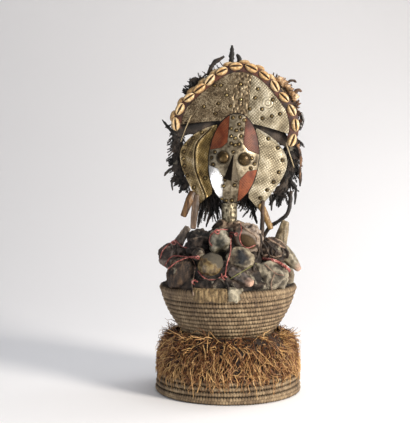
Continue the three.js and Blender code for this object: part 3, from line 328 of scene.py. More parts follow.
def straw_tree():
    """Loose straws that leave a surface, hang down and frizz out, over the surface itself."""
    tree, given = new_tree("Loose straws", {
        "Straws per metre": "Float", "Straw length": "Float", "Straw radius": "Float", "Reach": "Float",
        "Seed": "Int", "Material": "Material",
    })
    roots = add(tree, "GeometryNodeDistributePointsOnFaces", {
        "Mesh": given["Geometry"], "Density": given["Straws per metre"], "Seed": given["Seed"],
        "Selection": add(tree, ATTRIBUTE, {"Name": "rooted"}, data_type="BOOLEAN")})
    place = add(tree, "GeometryNodeInputPosition")
    clump = add(tree, NOISE, {"Vector": place, "Scale": 38.0, "Detail": 2.0})
    swirl = add(tree, VECTOR_MATH, {0: clump.outputs["Color"], 1: (0.5, 0.5, 0.5)}, operation="SUBTRACT")
    stray = add(tree, RANDOM, {
        0: (-1.0, -1.0, -1.0), 1: (1.0, 1.0, 0.8), "Seed": given["Seed"]}, data_type="FLOAT_VECTOR")
    aim = add(tree, VECTOR_MATH, {
        0: roots.outputs["Normal"], 1: (0.8, 0.8, 0.8), 2: (0.0, 0.0, -0.75)}, operation="MULTIPLY_ADD")
    aim = add(tree, VECTOR_MATH, {0: swirl, 1: (4.8, 4.8, 4.0), 2: aim}, operation="MULTIPLY_ADD")
    aim = add(tree, VECTOR_MATH, {0: aim, 1: stray}, operation="ADD")
    turn = add(tree, "FunctionNodeAlignRotationToVector", {"Vector": aim}, axis="Z")
    line = add(tree, "GeometryNodeCurvePrimitiveLine", {"End": (0.0, 0.0, 1.0)})
    bent = add(tree, "GeometryNodeResampleCurve", {"Curve": line, "Count": 5})
    size = add(tree, RANDOM, {2: 0.35, 3: 1.15, "Seed": 2})
    few = add(tree, MATH, {0: add(tree, RANDOM, {"Seed": 6}).outputs[1], 1: 16.0}, operation="POWER")
    longer = add(tree, MATH, {0: few, 1: 1.5, 2: size.outputs[1]}, operation="MULTIPLY_ADD")
    length = add(tree, MATH, {0: longer, 1: given["Straw length"]}, operation="MULTIPLY")
    laid = add(tree, INSTANCES, {
        "Points": roots.outputs["Points"], "Instance": bent,
        "Rotation": turn, "Scale": length})
    tone = add(tree, RANDOM, {"Seed": 11})
    toned = add(tree, STORE, {
        "Geometry": laid, "Name": "tone", "Value": tone.outputs[1]}, domain="INSTANCE")
    real = add(tree, "GeometryNodeRealizeInstances", {"Geometry": toned})
    along = add(tree, "GeometryNodeSplineParameter")
    spread = add(tree, MATH, {0: add(tree, ATTRIBUTE, {"Name": "tone"}), 1: 31.0}, operation="MULTIPLY")
    shifted = add(tree, VECTOR_MATH, {0: place, 1: spread}, operation="ADD")
    curls = add(tree, NOISE, {"Vector": shifted, "Scale": 70.0, "Detail": 1.0})
    curled = add(tree, VECTOR_MATH, {0: curls.outputs["Color"], 1: (0.5, 0.5, 0.5)}, operation="SUBTRACT")
    reach = add(tree, MATH, {0: along.outputs["Factor"], 1: given["Straw length"]}, operation="MULTIPLY")
    swing = add(tree, VECTOR_MATH, {0: curled, "Scale": reach}, operation="SCALE")
    drop = add(tree, MATH, {0: along.outputs["Factor"], 1: reach}, operation="MULTIPLY")
    sag = add(tree, VECTOR_MATH, {0: (0.0, 0.0, -0.2), "Scale": drop}, operation="SCALE")
    offset = add(tree, VECTOR_MATH, {0: swing, 1: (1.35, 1.35, 1.2), 2: sag}, operation="MULTIPLY_ADD")
    frizzed = add(tree, "GeometryNodeSetPosition", {"Geometry": real, "Offset": offset})
    # Straws that stick out too far are pressed back, each to a distance of its own
    flat = add(tree, VECTOR_MATH, {0: place, 1: (1.0, 1.0, 0.0)}, operation="MULTIPLY")
    out = add(tree, VECTOR_MATH, {0: flat}, operation="LENGTH")
    limit = add(tree, MATH, {
        0: add(tree, ATTRIBUTE, {"Name": "tone"}), 1: 6 * MM, 2: given["Reach"]}, operation="MULTIPLY_ADD")
    pressed = add(tree, MATH, {0: limit, 1: out.outputs["Value"]}, operation="DIVIDE")
    pressed = add(tree, MATH, {0: pressed, 1: 1.0}, operation="MINIMUM")
    aside = add(tree, XYZ, {"X": pressed, "Y": pressed, "Z": 1.0})
    held = add(tree, VECTOR_MATH, {0: place, 1: aside}, operation="MULTIPLY")
    held = add(tree, VECTOR_MATH, {0: held, 1: (-1.0, -1.0, 3 * MM)}, operation="MAXIMUM")
    frizzed = add(tree, "GeometryNodeSetPosition", {"Geometry": frizzed, "Position": held})
    thinner = add(tree, MAP_RANGE, {"Value": along.outputs["Factor"], "To Min": 1.0, "To Max": 0.35})
    width = add(tree, MATH, {0: thinner, 1: given["Straw radius"]}, operation="MULTIPLY")
    section = add(tree, CIRCLE, {"Resolution": 3, "Radius": 1.0})
    straws = add(tree, TO_MESH, {
        "Curve": frizzed, "Profile Curve": section, "Scale": width,
        "Fill Caps": True})
    clean = add(tree, STORE, {"Geometry": straws, "Name": "coat"})
    both = add(tree, "GeometryNodeJoinGeometry", {"Geometry": [clean, given["Geometry"]]})
    return close_tree(tree, both, given["Material"])


def placed_tree():
    """One shape on each point of the guide, turned and sized by the point's own vectors."""
    tree, given = new_tree("Placed shapes", {"Shape": "Object", "Material": "Material"})
    facing = add(tree, "FunctionNodeAlignRotationToVector", {
        "Vector": add(tree, ATTRIBUTE, {"Name": "facing"}, data_type="FLOAT_VECTOR")}, axis="Z")
    turned = add(tree, "FunctionNodeAlignRotationToVector", {
        "Rotation": facing, "Vector": add(tree, ATTRIBUTE, {"Name": "along"}, data_type="FLOAT_VECTOR")},
        axis="X", pivot_axis="Z")
    shape = add(tree, "GeometryNodeObjectInfo", {"Object": given["Shape"]})
    placed = add(tree, INSTANCES, {
        "Points": given["Geometry"], "Instance": shape.outputs["Geometry"],
        "Rotation": turned, "Scale": add(tree, ATTRIBUTE, {"Name": "size"}, data_type="FLOAT_VECTOR")})
    tone = add(tree, RANDOM, {"Seed": 4})
    toned = add(tree, STORE, {
        "Geometry": placed, "Name": "tone", "Value": tone.outputs[1]}, domain="INSTANCE")
    return close_tree(tree, toned, given["Material"])


def barb_tree():
    """Feathers and fur: a thin shaft along each line of the guide, with barbs on its two sides."""
    tree, given = new_tree("Barbed lines", {
        "Barb": "Object", "Barb spacing": "Float", "Splay": "Float", "Roll": "Float", "Seed": "Int",
        "Material": "Material",
    })
    path = add(tree, "GeometryNodeMeshToCurve", {"Mesh": given["Geometry"]})
    upright = add(tree, "GeometryNodeSetCurveNormal", {"Curve": path}, mode="Z_UP")
    section = add(tree, CIRCLE, {"Resolution": 4, "Radius": 1.0})
    shafts = add(tree, TO_MESH, {
        "Curve": upright, "Profile Curve": section, "Scale": add(tree, ATTRIBUTE, {"Name": "thick"}),
        "Fill Caps": True})
    factor = add(tree, "GeometryNodeSplineParameter")
    marked = add(tree, STORE, {"Geometry": upright, "Name": "way", "Value": factor.outputs["Factor"]})
    steps = add(tree, "GeometryNodeCurveToPoints", {
        "Curve": marked, "Length": given["Barb spacing"]}, mode="LENGTH")
    barb = add(tree, "GeometryNodeObjectInfo", {"Object": given["Barb"]})
    parts = []
    swell = add(tree, MAP_RANGE, {
        "Value": add(tree, ATTRIBUTE, {"Name": "way"}), "To Min": 0.35, "To Max": math.pi - 0.2})
    swell = add(tree, MATH, {0: swell}, operation="SINE")
    swell = add(tree, MATH, {0: swell, 1: 0.6}, operation="POWER")
    for side in (-1, 1):
        jitter = add(tree, RANDOM, {2: -0.3, 3: 0.3, "Seed": 20 + side})
        angle = add(tree, MATH, {0: given["Splay"], 1: jitter.outputs[1]}, operation="ADD")
        lean = add(tree, MATH, {0: angle, 1: float(side)}, operation="MULTIPLY")
        spin = add(tree, RANDOM, {2: -1.0, 3: 1.0, "Seed": 40 + side})
        roll = add(tree, MATH, {0: spin.outputs[1], 1: given["Roll"]}, operation="MULTIPLY")
        rolled = add(tree, "FunctionNodeEulerToRotation", {"Euler": add(tree, XYZ, {"Z": roll})})
        leaned = add(tree, "FunctionNodeEulerToRotation", {"Euler": add(tree, XYZ, {"X": lean})})
        turn = add(tree, "FunctionNodeRotateRotation", {
            "Rotation": steps.outputs["Rotation"], "Rotate By": rolled}, rotation_space="LOCAL")
        turn = add(tree, "FunctionNodeRotateRotation", {
            "Rotation": turn, "Rotate By": leaned}, rotation_space="LOCAL")
        length = add(tree, RANDOM, {2: 0.7, 3: 1.15, "Seed": 60 + side})
        size = add(tree, MATH, {0: swell, 1: length.outputs[1]}, operation="MULTIPLY")
        size = add(tree, MATH, {0: size, 1: add(tree, ATTRIBUTE, {"Name": "barb"})}, operation="MULTIPLY")
        scale = add(tree, XYZ, {"X": 1.0, "Y": 1.0, "Z": size})
        barbs = add(tree, INSTANCES, {
            "Points": steps.outputs["Points"], "Instance": barb.outputs["Geometry"],
            "Rotation": turn, "Scale": scale})
        parts.append(barbs)
    both = add(tree, "GeometryNodeJoinGeometry", {"Geometry": [*parts, shafts]})
    return close_tree(tree, both, given["Material"])


def cord_tree():
    """Laid cord: three strands twisted round the guide's line."""
    tree, given = new_tree("Laid cord", {
        "Cord radius": "Float", "Twist length": "Float", "Material": "Material",
    })
    path = add(tree, "GeometryNodeMeshToCurve", {"Mesh": given["Geometry"]})
    smooth = add(tree, "GeometryNodeResampleCurve", {
        "Curve": path, "Length": given["Cord radius"]}, mode="LENGTH")
    along = add(tree, "GeometryNodeSplineParameter")
    turns = add(tree, MATH, {0: along.outputs["Length"], 1: given["Twist length"]}, operation="DIVIDE")
    angle = add(tree, MATH, {0: turns, 1: math.tau}, operation="MULTIPLY")
    tilted = add(tree, "GeometryNodeSetCurveTilt", {"Curve": smooth, "Tilt": angle})
    strands = []
    for strand in range(3):
        section = add(tree, CIRCLE, {"Resolution": 6, "Radius": 0.55})
        where = strand * math.tau / 3
        aside = add(tree, "GeometryNodeTransform", {
            "Geometry": section,
            "Translation": (0.47 * math.cos(where), 0.47 * math.sin(where), 0.0)})
        strands.append(aside)
    sections = add(tree, "GeometryNodeJoinGeometry", {"Geometry": strands})
    cord = add(tree, TO_MESH, {
        "Curve": tilted, "Profile Curve": sections, "Scale": given["Cord radius"],
        "Fill Caps": True})
    return close_tree(tree, cord, given["Material"])


# Materials

# Most values of a noise texture lie between these
NOISE_LOW, NOISE_HIGH = 0.3, 0.7
COVER_ROUGHNESS = 0.82
SHEEN_ROUGHNESS = 0.4


def surface(name, tones, patch, grain, gloss, metallic=0.0, relief=0.3, stretch=(1.0, 1.0, 1.0),
            by_tone=0.0, coat=None, crust=None, sheen=0.0):
    """Weathered surface. Its colour runs through the tones in patches, and a finer grain breaks the
    colour, the gloss and the height. patch and grain are sizes in millimetres, gloss is the lowest and
    highest roughness. by_tone is the part that each piece's own tone has in the colour. coat is the
    colour that lies where the piece's coat attribute is 1: dirt, lines, crust and other marks on some
    pieces, and painted shade on others. crust is the colour and the share of a dry crust that lies over
    it in spots. A grain that is finer in the real one is drawn a millimetre or more wide, so that it shows."""
    patch, grain = patch * MM, grain * MM
    material = bpy.data.materials.new(name)
    material.use_nodes = True
    tree = material.node_tree
    tree.nodes.clear()
    place = add(tree, "ShaderNodeTexCoord")
    scaled = add(tree, "ShaderNodeMapping", {"Vector": place.outputs["Object"], "Scale": stretch})
    patches = add(tree, NOISE, {"Vector": scaled, "Scale": 1 / patch, "Detail": 3.0})
    fine = add(tree, NOISE, {"Vector": scaled, "Scale": 1 / grain, "Detail": 4.0, "Roughness": 0.62})
    share = add(tree, MAP_RANGE, {"Value": patches, "From Min": NOISE_LOW, "From Max": NOISE_HIGH})
    if by_tone:
        own = add(tree, "ShaderNodeAttribute", attribute_name="tone")
        share = add(tree, "ShaderNodeMix", {0: by_tone, 2: share, 3: own.outputs["Fac"]})
    ramp = add(tree, "ShaderNodeValToRGB", {"Fac": share})
    stops = ramp.color_ramp.elements
    while len(stops) < len(tones):
        stops.new(0.5)
    for i, tone in enumerate(tones):
        stops[i].position = i / (len(tones) - 1)
        stops[i].color = tone
    worn = add(tree, MAP_RANGE, {
        "Value": fine, "From Min": NOISE_LOW, "From Max": NOISE_HIGH, "To Min": 0.62, "To Max": 1.25})
    colour = add(tree, VECTOR_MATH, {0: ramp, "Scale": worn}, operation="SCALE")
    rough = add(tree, MAP_RANGE, {
        "Value": fine, "From Min": NOISE_LOW, "From Max": NOISE_HIGH,
        "To Min": gloss[1], "To Max": gloss[0]})
    covers = []
    if crust:
        spots = add(tree, NOISE, {
            "Vector": place.outputs["Object"], "Scale": 0.7 / patch, "Detail": 6.0, "Roughness": 0.72})
        middle = 0.66 - 0.32 * crust[1]
        covers.append((crust[0], add(tree, MAP_RANGE, {
            "Value": spots, "From Min": middle - 0.035, "From Max": middle + 0.035})))
    if coat:
        covers.append((coat, add(tree, "ShaderNodeAttribute", attribute_name="coat").outputs["Fac"]))
    for cover, where in covers:
        over = add(tree, VECTOR_MATH, {0: cover[:3], "Scale": worn}, operation="SCALE")
        colour = add(tree, "ShaderNodeMix", {0: where, 6: colour, 7: over}, data_type="RGBA").outputs[2]
        rough = add(tree, "ShaderNodeMix", {0: where, 2: rough, 3: COVER_ROUGHNESS})
    bump = add(tree, "ShaderNodeBump", {"Height": fine, "Strength": relief, "Distance": grain * 0.5})
    shader = add(tree, "ShaderNodeBsdfPrincipled", {
        "Base Color": colour, "Roughness": rough, "Metallic": metallic, "Normal": bump})
    if sheen:
        shader.inputs["Sheen Weight"].default_value = sheen
        shader.inputs["Sheen Roughness"].default_value = SHEEN_ROUGHNESS
    add(tree, "ShaderNodeOutputMaterial", {"Surface": shader})
    return material


def palm_strip(look):
    """Palm strip wound on cane: dry and matt, each strip with its own age, and painted shade in the seams
    between.
    """
    return surface("aged palm strip", [look.shade[:], look.strip[:], look.light[:]], 34, 1.4,
                   (0.55, 0.8), relief=0.5, by_tone=0.5, stretch=(1.0, 1.0, 0.45), coat=linear("#1F140B"))


def raffia(look):
    """Dry raffia: thin, matt, golden where the light catches it, and painted near black on the mat between
    the straws, as the shade deep inside the mass.
    """
    return surface("dry raffia", [look.dark[:], look.straw[:], look.light[:]], 26, 2.5,
                   (0.45, 0.7), relief=0.2, by_tone=0.8, coat=linear("#1E1107"))


def carved_wood():
    """Carved hardwood darkened by oil and handling: fine grain up the figure, low gloss."""
    return surface("oiled dark hardwood", shades("#0C0906 #1B130D #30241A"),
                   24, 1.6, (0.62, 0.85), relief=0.35, stretch=(1.0, 1.0, 0.2))


def brass_sheet(name, tones, roughness=(0.3, 0.5)):
    """Thin hammered brass sheet: satin metal with brown patina in its lines and rubbed high spots. The same
    brown is the painted shade round its tacks and eyes and on the nose.
    """
    return surface(name, tones, 13, 1.8, roughness, metallic=0.72, relief=0.35, by_tone=0.55,
                   coat=linear("#21180F"))


def copper_sheet(name, tones):
    """Engraved copper sheet under an even rust-red patina, its lines rubbed paler."""
    return surface(name, tones, 20, 1.5, (0.4, 0.6), metallic=0.3, relief=0.3, coat=linear("#90603F"))


def cowrie_shell():
    """Cowrie: porcelain-like, polished, cream with an orange-brown flush, with painted shade in its slit
    and on its sides.
    """
    return surface("polished cowrie", shades("#A8703C #DDB880 #F4E2BC"),
                   5, 3, (0.2, 0.36), relief=0.08, by_tone=0.4, coat=linear("#2E190A"))


def rawhide():
    """Brown rawhide band: dull, stained by handling, with fine wrinkles across it."""
    return surface("stained rawhide", shades("#1E110B #432318 #6A3A26"), 14, 1.5, (0.5, 0.75), relief=0.5)


def polished_dark_metal():
    """Eyes: dark patinated brass, smooth enough to carry a highlight."""
    return surface("dark patinated brass", shades("#2B2116 #4A3B24 #6A5636"),
                   9, 2, (0.24, 0.4), metallic=0.75, relief=0.12)


# Baskets

def polar(radius, angle, z):
    """Place at a distance from the upright axis, an angle round it and a height."""
    return radius * math.cos(angle), radius * math.sin(angle), z


def base_radius(z):
    return BASE_TOP_RADIUS + (BASE_RADIUS - BASE_TOP_RADIUS) * math.cos(
        min(max(z / BASE_HEIGHT, 0.0), 1.0) * math.pi / 2)


def bowl_radius(z):
    from_rim = 1 - min(max((z - BOWL_Z) / (RIM_Z - BOWL_Z), 0.0), 1.0)
    return RIM_RADIUS - (RIM_RADIUS - BOWL_FOOT_RADIUS) * from_rim ** 1.7


# Points in one turn of a coil, and in a basket's wall from below to above
TURN_STEPS = 90
WALL_STEPS = 12
# How much thicker a coil gets by the strip that is wound round it
WOUND = 1.17


def spiral(profile, coil):
    """Points that climb a profile of radius and height by one coil a turn. The first and the last turn
    are level, and start and end at the back, so that no end of the coil stands out."""
    lengths = [0.0]
    for (r0, z0), (r1, z1) in zip(profile, profile[1:]):
        lengths.append(lengths[-1] + math.hypot(r1 - r0, z1 - z0))
    points = []
    for i in range(int(TURN_STEPS * (lengths[-1] / coil + 2))):
        angle = i / TURN_STEPS * math.tau + math.pi / 2
        way = min(max(i / TURN_STEPS - 1, 0.0) * coil, lengths[-1])
        r = np.interp(way, lengths, [p[0] for p in profile])
        z = np.interp(way, lengths, [p[1] for p in profile])
        points.append(polar(r, angle, z))
    return points


def line_mesh(name, lines, **values):
    """Mesh of bare edges from several lines of points. Each value is a list with one number for a line."""
    points = [p for line in lines for p in line]
    edges = []
    start = 0
    for line in lines:
        edges += [(start + i, start + i + 1) for i in range(len(line) - 1)]
        start += len(line)
    guide = mesh_object(name, points, [], edges)
    for label, numbers in values.items():
        point_values(guide.data, label, [n for line, n in zip(lines, numbers) for _ in line])
    return guide


def strip_ring(width):
    """One turn of strip round a coil of radius 1: a closed ring with a crowned outer side."""
    sides = 8
    section = [(0.96, -width / 2), (1.06, -width * 0.32), (1.09, width * 0.24), (0.96, width / 2)]
    vertices = []
    seam_shade = []
    for i in range(sides):
        angle = i / sides * math.tau
        # Painted shade: the ring darkens towards its upper and lower sides, where it meets the next coil,
        # and at its edges
        seam = ramp_between(abs(math.cos(angle)), 0.86, 0.45)
        vertices += [polar(r, angle, z) for r, z in section]
        seam_shade += [max(seam, 0.5), seam, seam, max(seam, 0.25)]
    ring = mesh_object("strip_turn", vertices, ring_faces(sides, len(section)))
    point_values(ring.data, "coat", seam_shade)
    ring.hide_render = True
    return ring


def coiled(name, lines, thick, look, material):
    ring = strip_ring(look.strip_pitch * 1.02)
    basket = grown(line_mesh(name, lines, thick=thick), coil_tree(), Strip=ring,
                   Strip_spacing=look.strip_pitch, Slant=look.slant, Material=material)
    bpy.data.objects.remove(ring)
    return basket


def base_profile(half):
    wound = WOUND * half
    rows = [i / WALL_STEPS * (BASE_HEIGHT - 2 * wound) + wound for i in range(WALL_STEPS + 1)]
    wall = [(base_radius(z) - wound, z) for z in rows]
    return wall + [(half, BASE_HEIGHT - wound)]


def bowl_profile(half):
    low, high = BOWL_Z + half, RIM_Z - 2 * RIM_ROLL_RADIUS
    rows = [low + i / WALL_STEPS * (high - low) for i in range(WALL_STEPS + 1)]
    return [(half, low)] + [(bowl_radius(z) - WOUND * half, z) for z in rows]


def make_baskets(look):
    half = look.coil / 2
    material = palm_strip(look)
    base = coiled("base_basket_coils", [spiral(base_profile(half), look.coil)], [half], look, material)
    finished(base, material, "basket", "base_basket")
    steps = 120
    radius = RIM_RADIUS - RIM_ROLL_RADIUS
    angles = [i * math.tau / steps for i in range(steps + 1)]
    ring = [polar(radius, a, RIM_Z - RIM_ROLL_RADIUS) for a in angles]
    bowl = coiled("bowl_basket_coils", [spiral(bowl_profile(half), look.coil), ring],
                  [half, RIM_ROLL_RADIUS], look, material)
    finished(bowl, material, "basket", "bowl_basket")


# Straw fringe

# Profile of the matted straw, in millimetres
MAT_HEIGHTS = [36, 45, 57, 79, 90, 97, 103]
MAT_RADII = [115, 114, 111, 106, 100, 91, 80]


def fringe_mat():
    """Closed ring of matted straw round the waist. Straws root only on its outer side."""
    rows = 14
    sides = 72
    low, high = 36 * MM, BOWL_Z + 7 * MM
    vertices = []
    rooted = []
    for i in range(sides):
        angle = i / sides * math.tau
        for j in range(rows):
            t = j / (rows - 1)
            z = low + (high - low) * t
            wave = 2.2 * MM * noise.noise(Vector((math.cos(angle) * 7, math.sin(angle) * 7, t * 5)))
            r = np.interp(z / MM, MAT_HEIGHTS, MAT_RADII) * MM + wave
            vertices.append(polar(r, angle, z))
            rooted.append(True)
        for z in (high - 2 * MM, low + 1 * MM):
            r = (min(base_radius(z), 90 * MM) if z > BASE_HEIGHT else base_radius(z)) - 3 * MM
            vertices.append(polar(r, angle, z))
            rooted.append(False)
    faces = ring_faces(sides, rows + 2)
    mat = mesh_object("straw_fringe_strands", vertices, faces)
    attribute = mat.data.attributes.new("rooted", "BOOLEAN", "FACE")
    attribute.data.foreach_set("value", [all(rooted[v] for v in face) for face in faces])
    # Painted shade: the whole mat takes the near black coat, as the shade deep in the straw
    point_values(mat.data, "coat", [1.0] * len(vertices))
    return mat


# Long straws that lie over the fringe, across and up in millimetres, and how far from the axis they lie
LONG_STRAWS = [
    [(-32, 80), (-32, 92), (-31, 102), (-29, 109), (-21, 101), (-13, 96), (-4, 92)],
    [(-5, 91), (-7, 80), (-9, 69), (-12, 56)],
    [(16, 74), (13, 68), (9, 61)],
    [(45, 84), (55, 75), (67, 62), (78, 49)],
    [(30, 83), (35, 70), (42, 52)],
    [(-59, 56), (-57, 42), (-55, 26), (-53, 11)],
    [(-39, 91), (-35, 79), (-36, 66), (-40, 53)],
    [(-90, 92), (-87, 82), (-80, 77)],
    [(-48, 18), (-43, 32), (-41, 40)],
    [(38, 82), (48, 69), (60, 56)],
    [(-21, 80), (-22, 67), (-21, 51)],
]
LAID_HEIGHTS = [0, 30, 45, 57, 79, 90, 97, 103, 112]
LAID_RADII = [121.5, 120, 120, 117, 112, 106, 97, 87, 88.5]


def make_long_straws(material, half):
    straws = []
    for route in LONG_STRAWS:
        points = []
        for x, z in route:
            out = np.interp(z, LAID_HEIGHTS, LAID_RADII)
            points.append((x * MM, -math.sqrt(out * out - x * x) * MM, z * MM))
        straws.append(bar("long_straws", points, lambda t: half * (1 - 0.5 * t), sides=5))
    laid = joined("long_straws", straws)
    point_values(laid.data, "tone", [0.85] * len(laid.data.vertices))
    finished(laid, material, "straw", sharp=0)


def make_fringe(look):
    material = raffia(look)
    fringe = grown(fringe_mat(), straw_tree(), Straws_per_metre=look.density, Straw_length=look.length,
                   Straw_radius=look.radius, Reach=look.reach, Seed=7, Material=material)
    finished(fringe, material, "straw", "straw_fringe")
    make_long_straws(material, look.radius)


# Wooden figure

def carved(name, nodes, voxel, rounds, change=None):
    """Fine skin over CAD nodes: their welded copy is remeshed, smoothed, and moved point by point."""
    bm = bmesh.new()
    for node in nodes:
        bm.from_mesh(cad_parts[node].data)
    bmesh.ops.remove_doubles(bm, verts=bm.verts, dist=0.001 * MM)
    mesh = bpy.data.meshes.new(name)
    bm.to_mesh(mesh)
    bm.free()
    piece = with_modifier(linked(name, mesh), "REMESH", mode="VOXEL", voxel_size=voxel)
    piece = with_modifier(piece, "SMOOTH", factor=0.5, iterations=rounds)
    if change:
        pushed(piece, change)
    return piece


def bumps(p, size, depth):
    """Relief of round bumps of a size and a depth in millimetres."""
    return depth * MM * noise.noise(p / (size * MM))


def make_wood():
    def adze(p):
        return bumps(p, 5, 0.25) + bumps(p, 2.2, 0.18)
    wood = carved("wooden_figure_carving", ["wooden_figure"], 1.8 * MM, 3, adze)
    finished(wood, carved_wood(), "wood", "wooden_figure", sharp=0)


# Metal sheets

def drawn_out(angle):
    """The crest's radius at an angle from its top, as a share of the mean one."""
    return 1 + CREST_POINT * math.cos(4 * angle) + CREST_SKEW * math.sin(2 * angle)


def crest_at(angle, radius, y):
    """Place at an angle from the crest's top, a distance from its middle and a depth."""
    return CREST_X + math.sin(angle) * radius, y, CREST_Z + math.cos(angle) * radius


def crest_y(share):
    """Where the crest's front lies at a share of its radius."""
    return CREST_FRONT_Y + (CREST_EDGE_Y - CREST_FRONT_Y) * share ** 2


def crest_front(x, z):
    x, z = x - CREST_X, z - CREST_Z
    return crest_y(math.hypot(x, z) / (CREST_RADIUS * drawn_out(math.atan2(x, z))))


def lobe_front(x, _z):
    share = min(max((abs(x) - 10 * PART) / (30.5 * PART), 0.0), 1.2)
    return CREST_EDGE_Y + 12 * MM * share ** 1.5


def face_share(x, z, extra=0.0):
    """0 in the middle of the face, and 1 on its edge or so far outside it as extra says."""
    return math.hypot(x / (FACE_WIDTH / 2 + extra), (z - FACE_HEIGHT / 2) / (FACE_HEIGHT / 2 + extra))


def face_front(x, z):
    s = face_share(x, z)
    return FACE_EDGE_Y - FACE_BULGE * (1 - s * s)


def crest_circle(radius, count=160):
    angles = [i / count * math.tau for i in range(count + 1)]
    return [(CREST_X + math.sin(a) * radius * drawn_out(a), CREST_Z + math.cos(a) * radius * drawn_out(a))
            for a in angles]


def face_ellipse(extra, count=140):
    across, up = FACE_WIDTH / 2 + extra, FACE_HEIGHT / 2 + extra
    angles = [i / count * math.tau for i in range(count + 1)]
    return [(math.sin(a) * across, FACE_HEIGHT / 2 + math.cos(a) * up) for a in angles]


def bezier(points, count=24):
    """Points along a curve of two, three or four control points."""
    found = []
    for i in range(count + 1):
        row = [Vector(p) for p in points]
        while len(row) > 1:
            row = [a.lerp(b, i / count) for a, b in zip(row, row[1:])]
        found.append((row[0].x, row[0].y))
    return found


def catmull(points, each=8):
    """Smooth curve through points of any dimension."""
    row = [Vector(p) for p in points]
    row = [2 * row[0] - row[1], *row, 2 * row[-1] - row[-2]]
    found = []
    for a, b, c, d in zip(row, row[1:], row[2:], row[3:]):
        for i in range(each):
            t = i / each
            found.append(0.5 * (2 * b + (c - a) * t + (2 * a - 5 * b + 4 * c - d) * t * t
                                + (3 * b - 3 * c + d - a) * t * t * t))
    return [tuple(p) for p in found + [row[-2]]]


def hundredths(points):
    return [(x * PART, z * PART) for x, z in points]


def crescent_edge():
    end = 1.25 * CREST_RADIUS / PART
    left = bezier(hundredths([(-end, 49.3), (-23.7, 57.8), (0, 59)]))
    return left + [(-x, z) for x, z in reversed(left)][1:]


def lobe_edge(side):
    upper = bezier(hundredths([(14.2, 55.2), (25, 51.7), (38.8, 42.2), (38.8, 31.9)]))
    lower = bezier(hundredths([(38.8, 31.9), (38.8, 21.6), (28.4, 9.5), (22, -3)]))
    inner = hundredths([(13.4, 5.2), (11, 30), (14.2, 55.2)])
    return [(side * x, z) for x, z in upper + lower[1:] + inner]


# Seam between the two sheets of the left lobe
SEAM = catmull(hundredths([
    (-15, 60), (-18.5, 52), (-27.5, 40), (-27.3, 25.5), (-24, 16), (-18, 4), (-17, -8)]))


def seam_across(z):
    return np.interp(z, [p[1] for p in reversed(SEAM)], [p[0] for p in reversed(SEAM)])


def height_at(line, x):
    """Height of a line that runs from left to right, at one place across."""
    return np.interp(x, [p[0] for p in line], [p[1] for p in line])


def within(outline, x, z):
    """Whether a place lies inside a closed outline."""
    inside = False
    for (x0, z0), (x1, z1) in zip(outline, outline[1:] + outline[:1]):
        if (z0 > z) != (z1 > z) and x < (x1 - x0) * (z - z0) / (z1 - z0) + x0:
            inside = not inside
    return inside


def by_height(heights):
    """Tones from 0 in the hollows to 1 on the high places. On the metal this is patina and rubbing; on the
    bundle it is painted shade in the folds and painted highlight on the ridges.
    """
    deep, high = np.percentile(heights, (6, 92))
    return [ramp_between(height, deep, high) for height in heights]


def cut_sheet(name, curves, inside, front, pattern, spacing, tacks):
    """Sheet cut along curves in the plane of the face and laid on a front surface. pattern gives its
    raised height and how dark its lines are, and painted shadow lies in a ring round its tacks. It gets
    its thickness inwards."""
    tacks = tacks_on(tacks)
    points = []
    edges = []
    for curve in curves:
        edges += [(len(points) + i, len(points) + i + 1) for i in range(len(curve) - 1)]
        points += curve
    taken = kdtree.KDTree(len(points))
    for i, (x, z) in enumerate(points):
        taken.insert((x, z, 0), i)
    taken.balance()
    xs, zs = [p[0] for p in points], [p[1] for p in points]
    row_step = spacing * 0.87
    for row in range(int((max(zs) - min(zs)) / row_step) + 1):
        for column in range(int((max(xs) - min(xs)) / spacing) + 1):
            x = min(xs) + (column + 0.5 * (row % 2)) * spacing
            z = min(zs) + row * row_step
            if inside(x, z) and taken.find((x, z, 0))[2] > 0.5 * spacing:
                points.append((x, z))
    flat, _, faces, *_ = geometry.delaunay_2d_cdt([Vector(p) for p in points], edges, [], 0, 0.01 * MM)
    kept = []
    for face in faces:
        middle = sum((flat[i] for i in face), Vector((0, 0))) / len(face)
        if inside(middle.x, middle.y):
            kept.append(tuple(face))
    used = sorted({i for face in kept for i in face})
    index = {old: new for new, old in enumerate(used)}
    vertices = []
    dark = []
    heights = []
    for i in used:
        x, z = flat[i]
        raised, line = pattern(x, z)
        heights.append(raised)
        # Painted shadow under the tack's head: the sheet takes its coat colour in a ring round each tack
        ring = ramp_between(tacks.find((x, z, 0))[2], *TACK_RING)
        vertices.append((x, front(x, z) - OVER_WOOD - raised + TACK_DENT * ring, z))
        dark.append(max(line, 0.85 * ring))
    sheet = mesh_object(name, vertices, [tuple(index[i] for i in face) for face in kept])
    point_values(sheet.data, "coat", dark)
    point_values(sheet.data, "tone", by_height(heights))
    with_modifier(sheet, "SOLIDIFY", thickness=SHEET, offset=-1.0)
    return moved(sheet, HEAD)


def hatch(x, z, degrees, pitch, width):
    """1 in the middle of engraved lines at an angle and a pitch in millimetres, 0 between them."""
    angle = math.radians(degrees)
    across = (z * math.cos(angle) - x * math.sin(angle)) / (pitch * MM)
    return max(0.0, 1 - abs((across % 1) - 0.5) / width)


def uneven(x, z, wide, tall, seed):
    """Noise from about -1 to 1, in patches so many millimetres wide and tall."""
    return noise.noise(Vector((x / (wide * MM), z / (tall * MM), seed)))


def hammered(x, z, wide, tall, depth, seed):
    """Dents of a width, a height and a depth in millimetres."""
    return depth * MM * uneven(x, z, wide, tall, seed)


def rolling(x, z, seed):
    """Slow unevenness of a hand-fitted sheet."""
    return hammered(x, z, 17, 17, 0.35, seed)


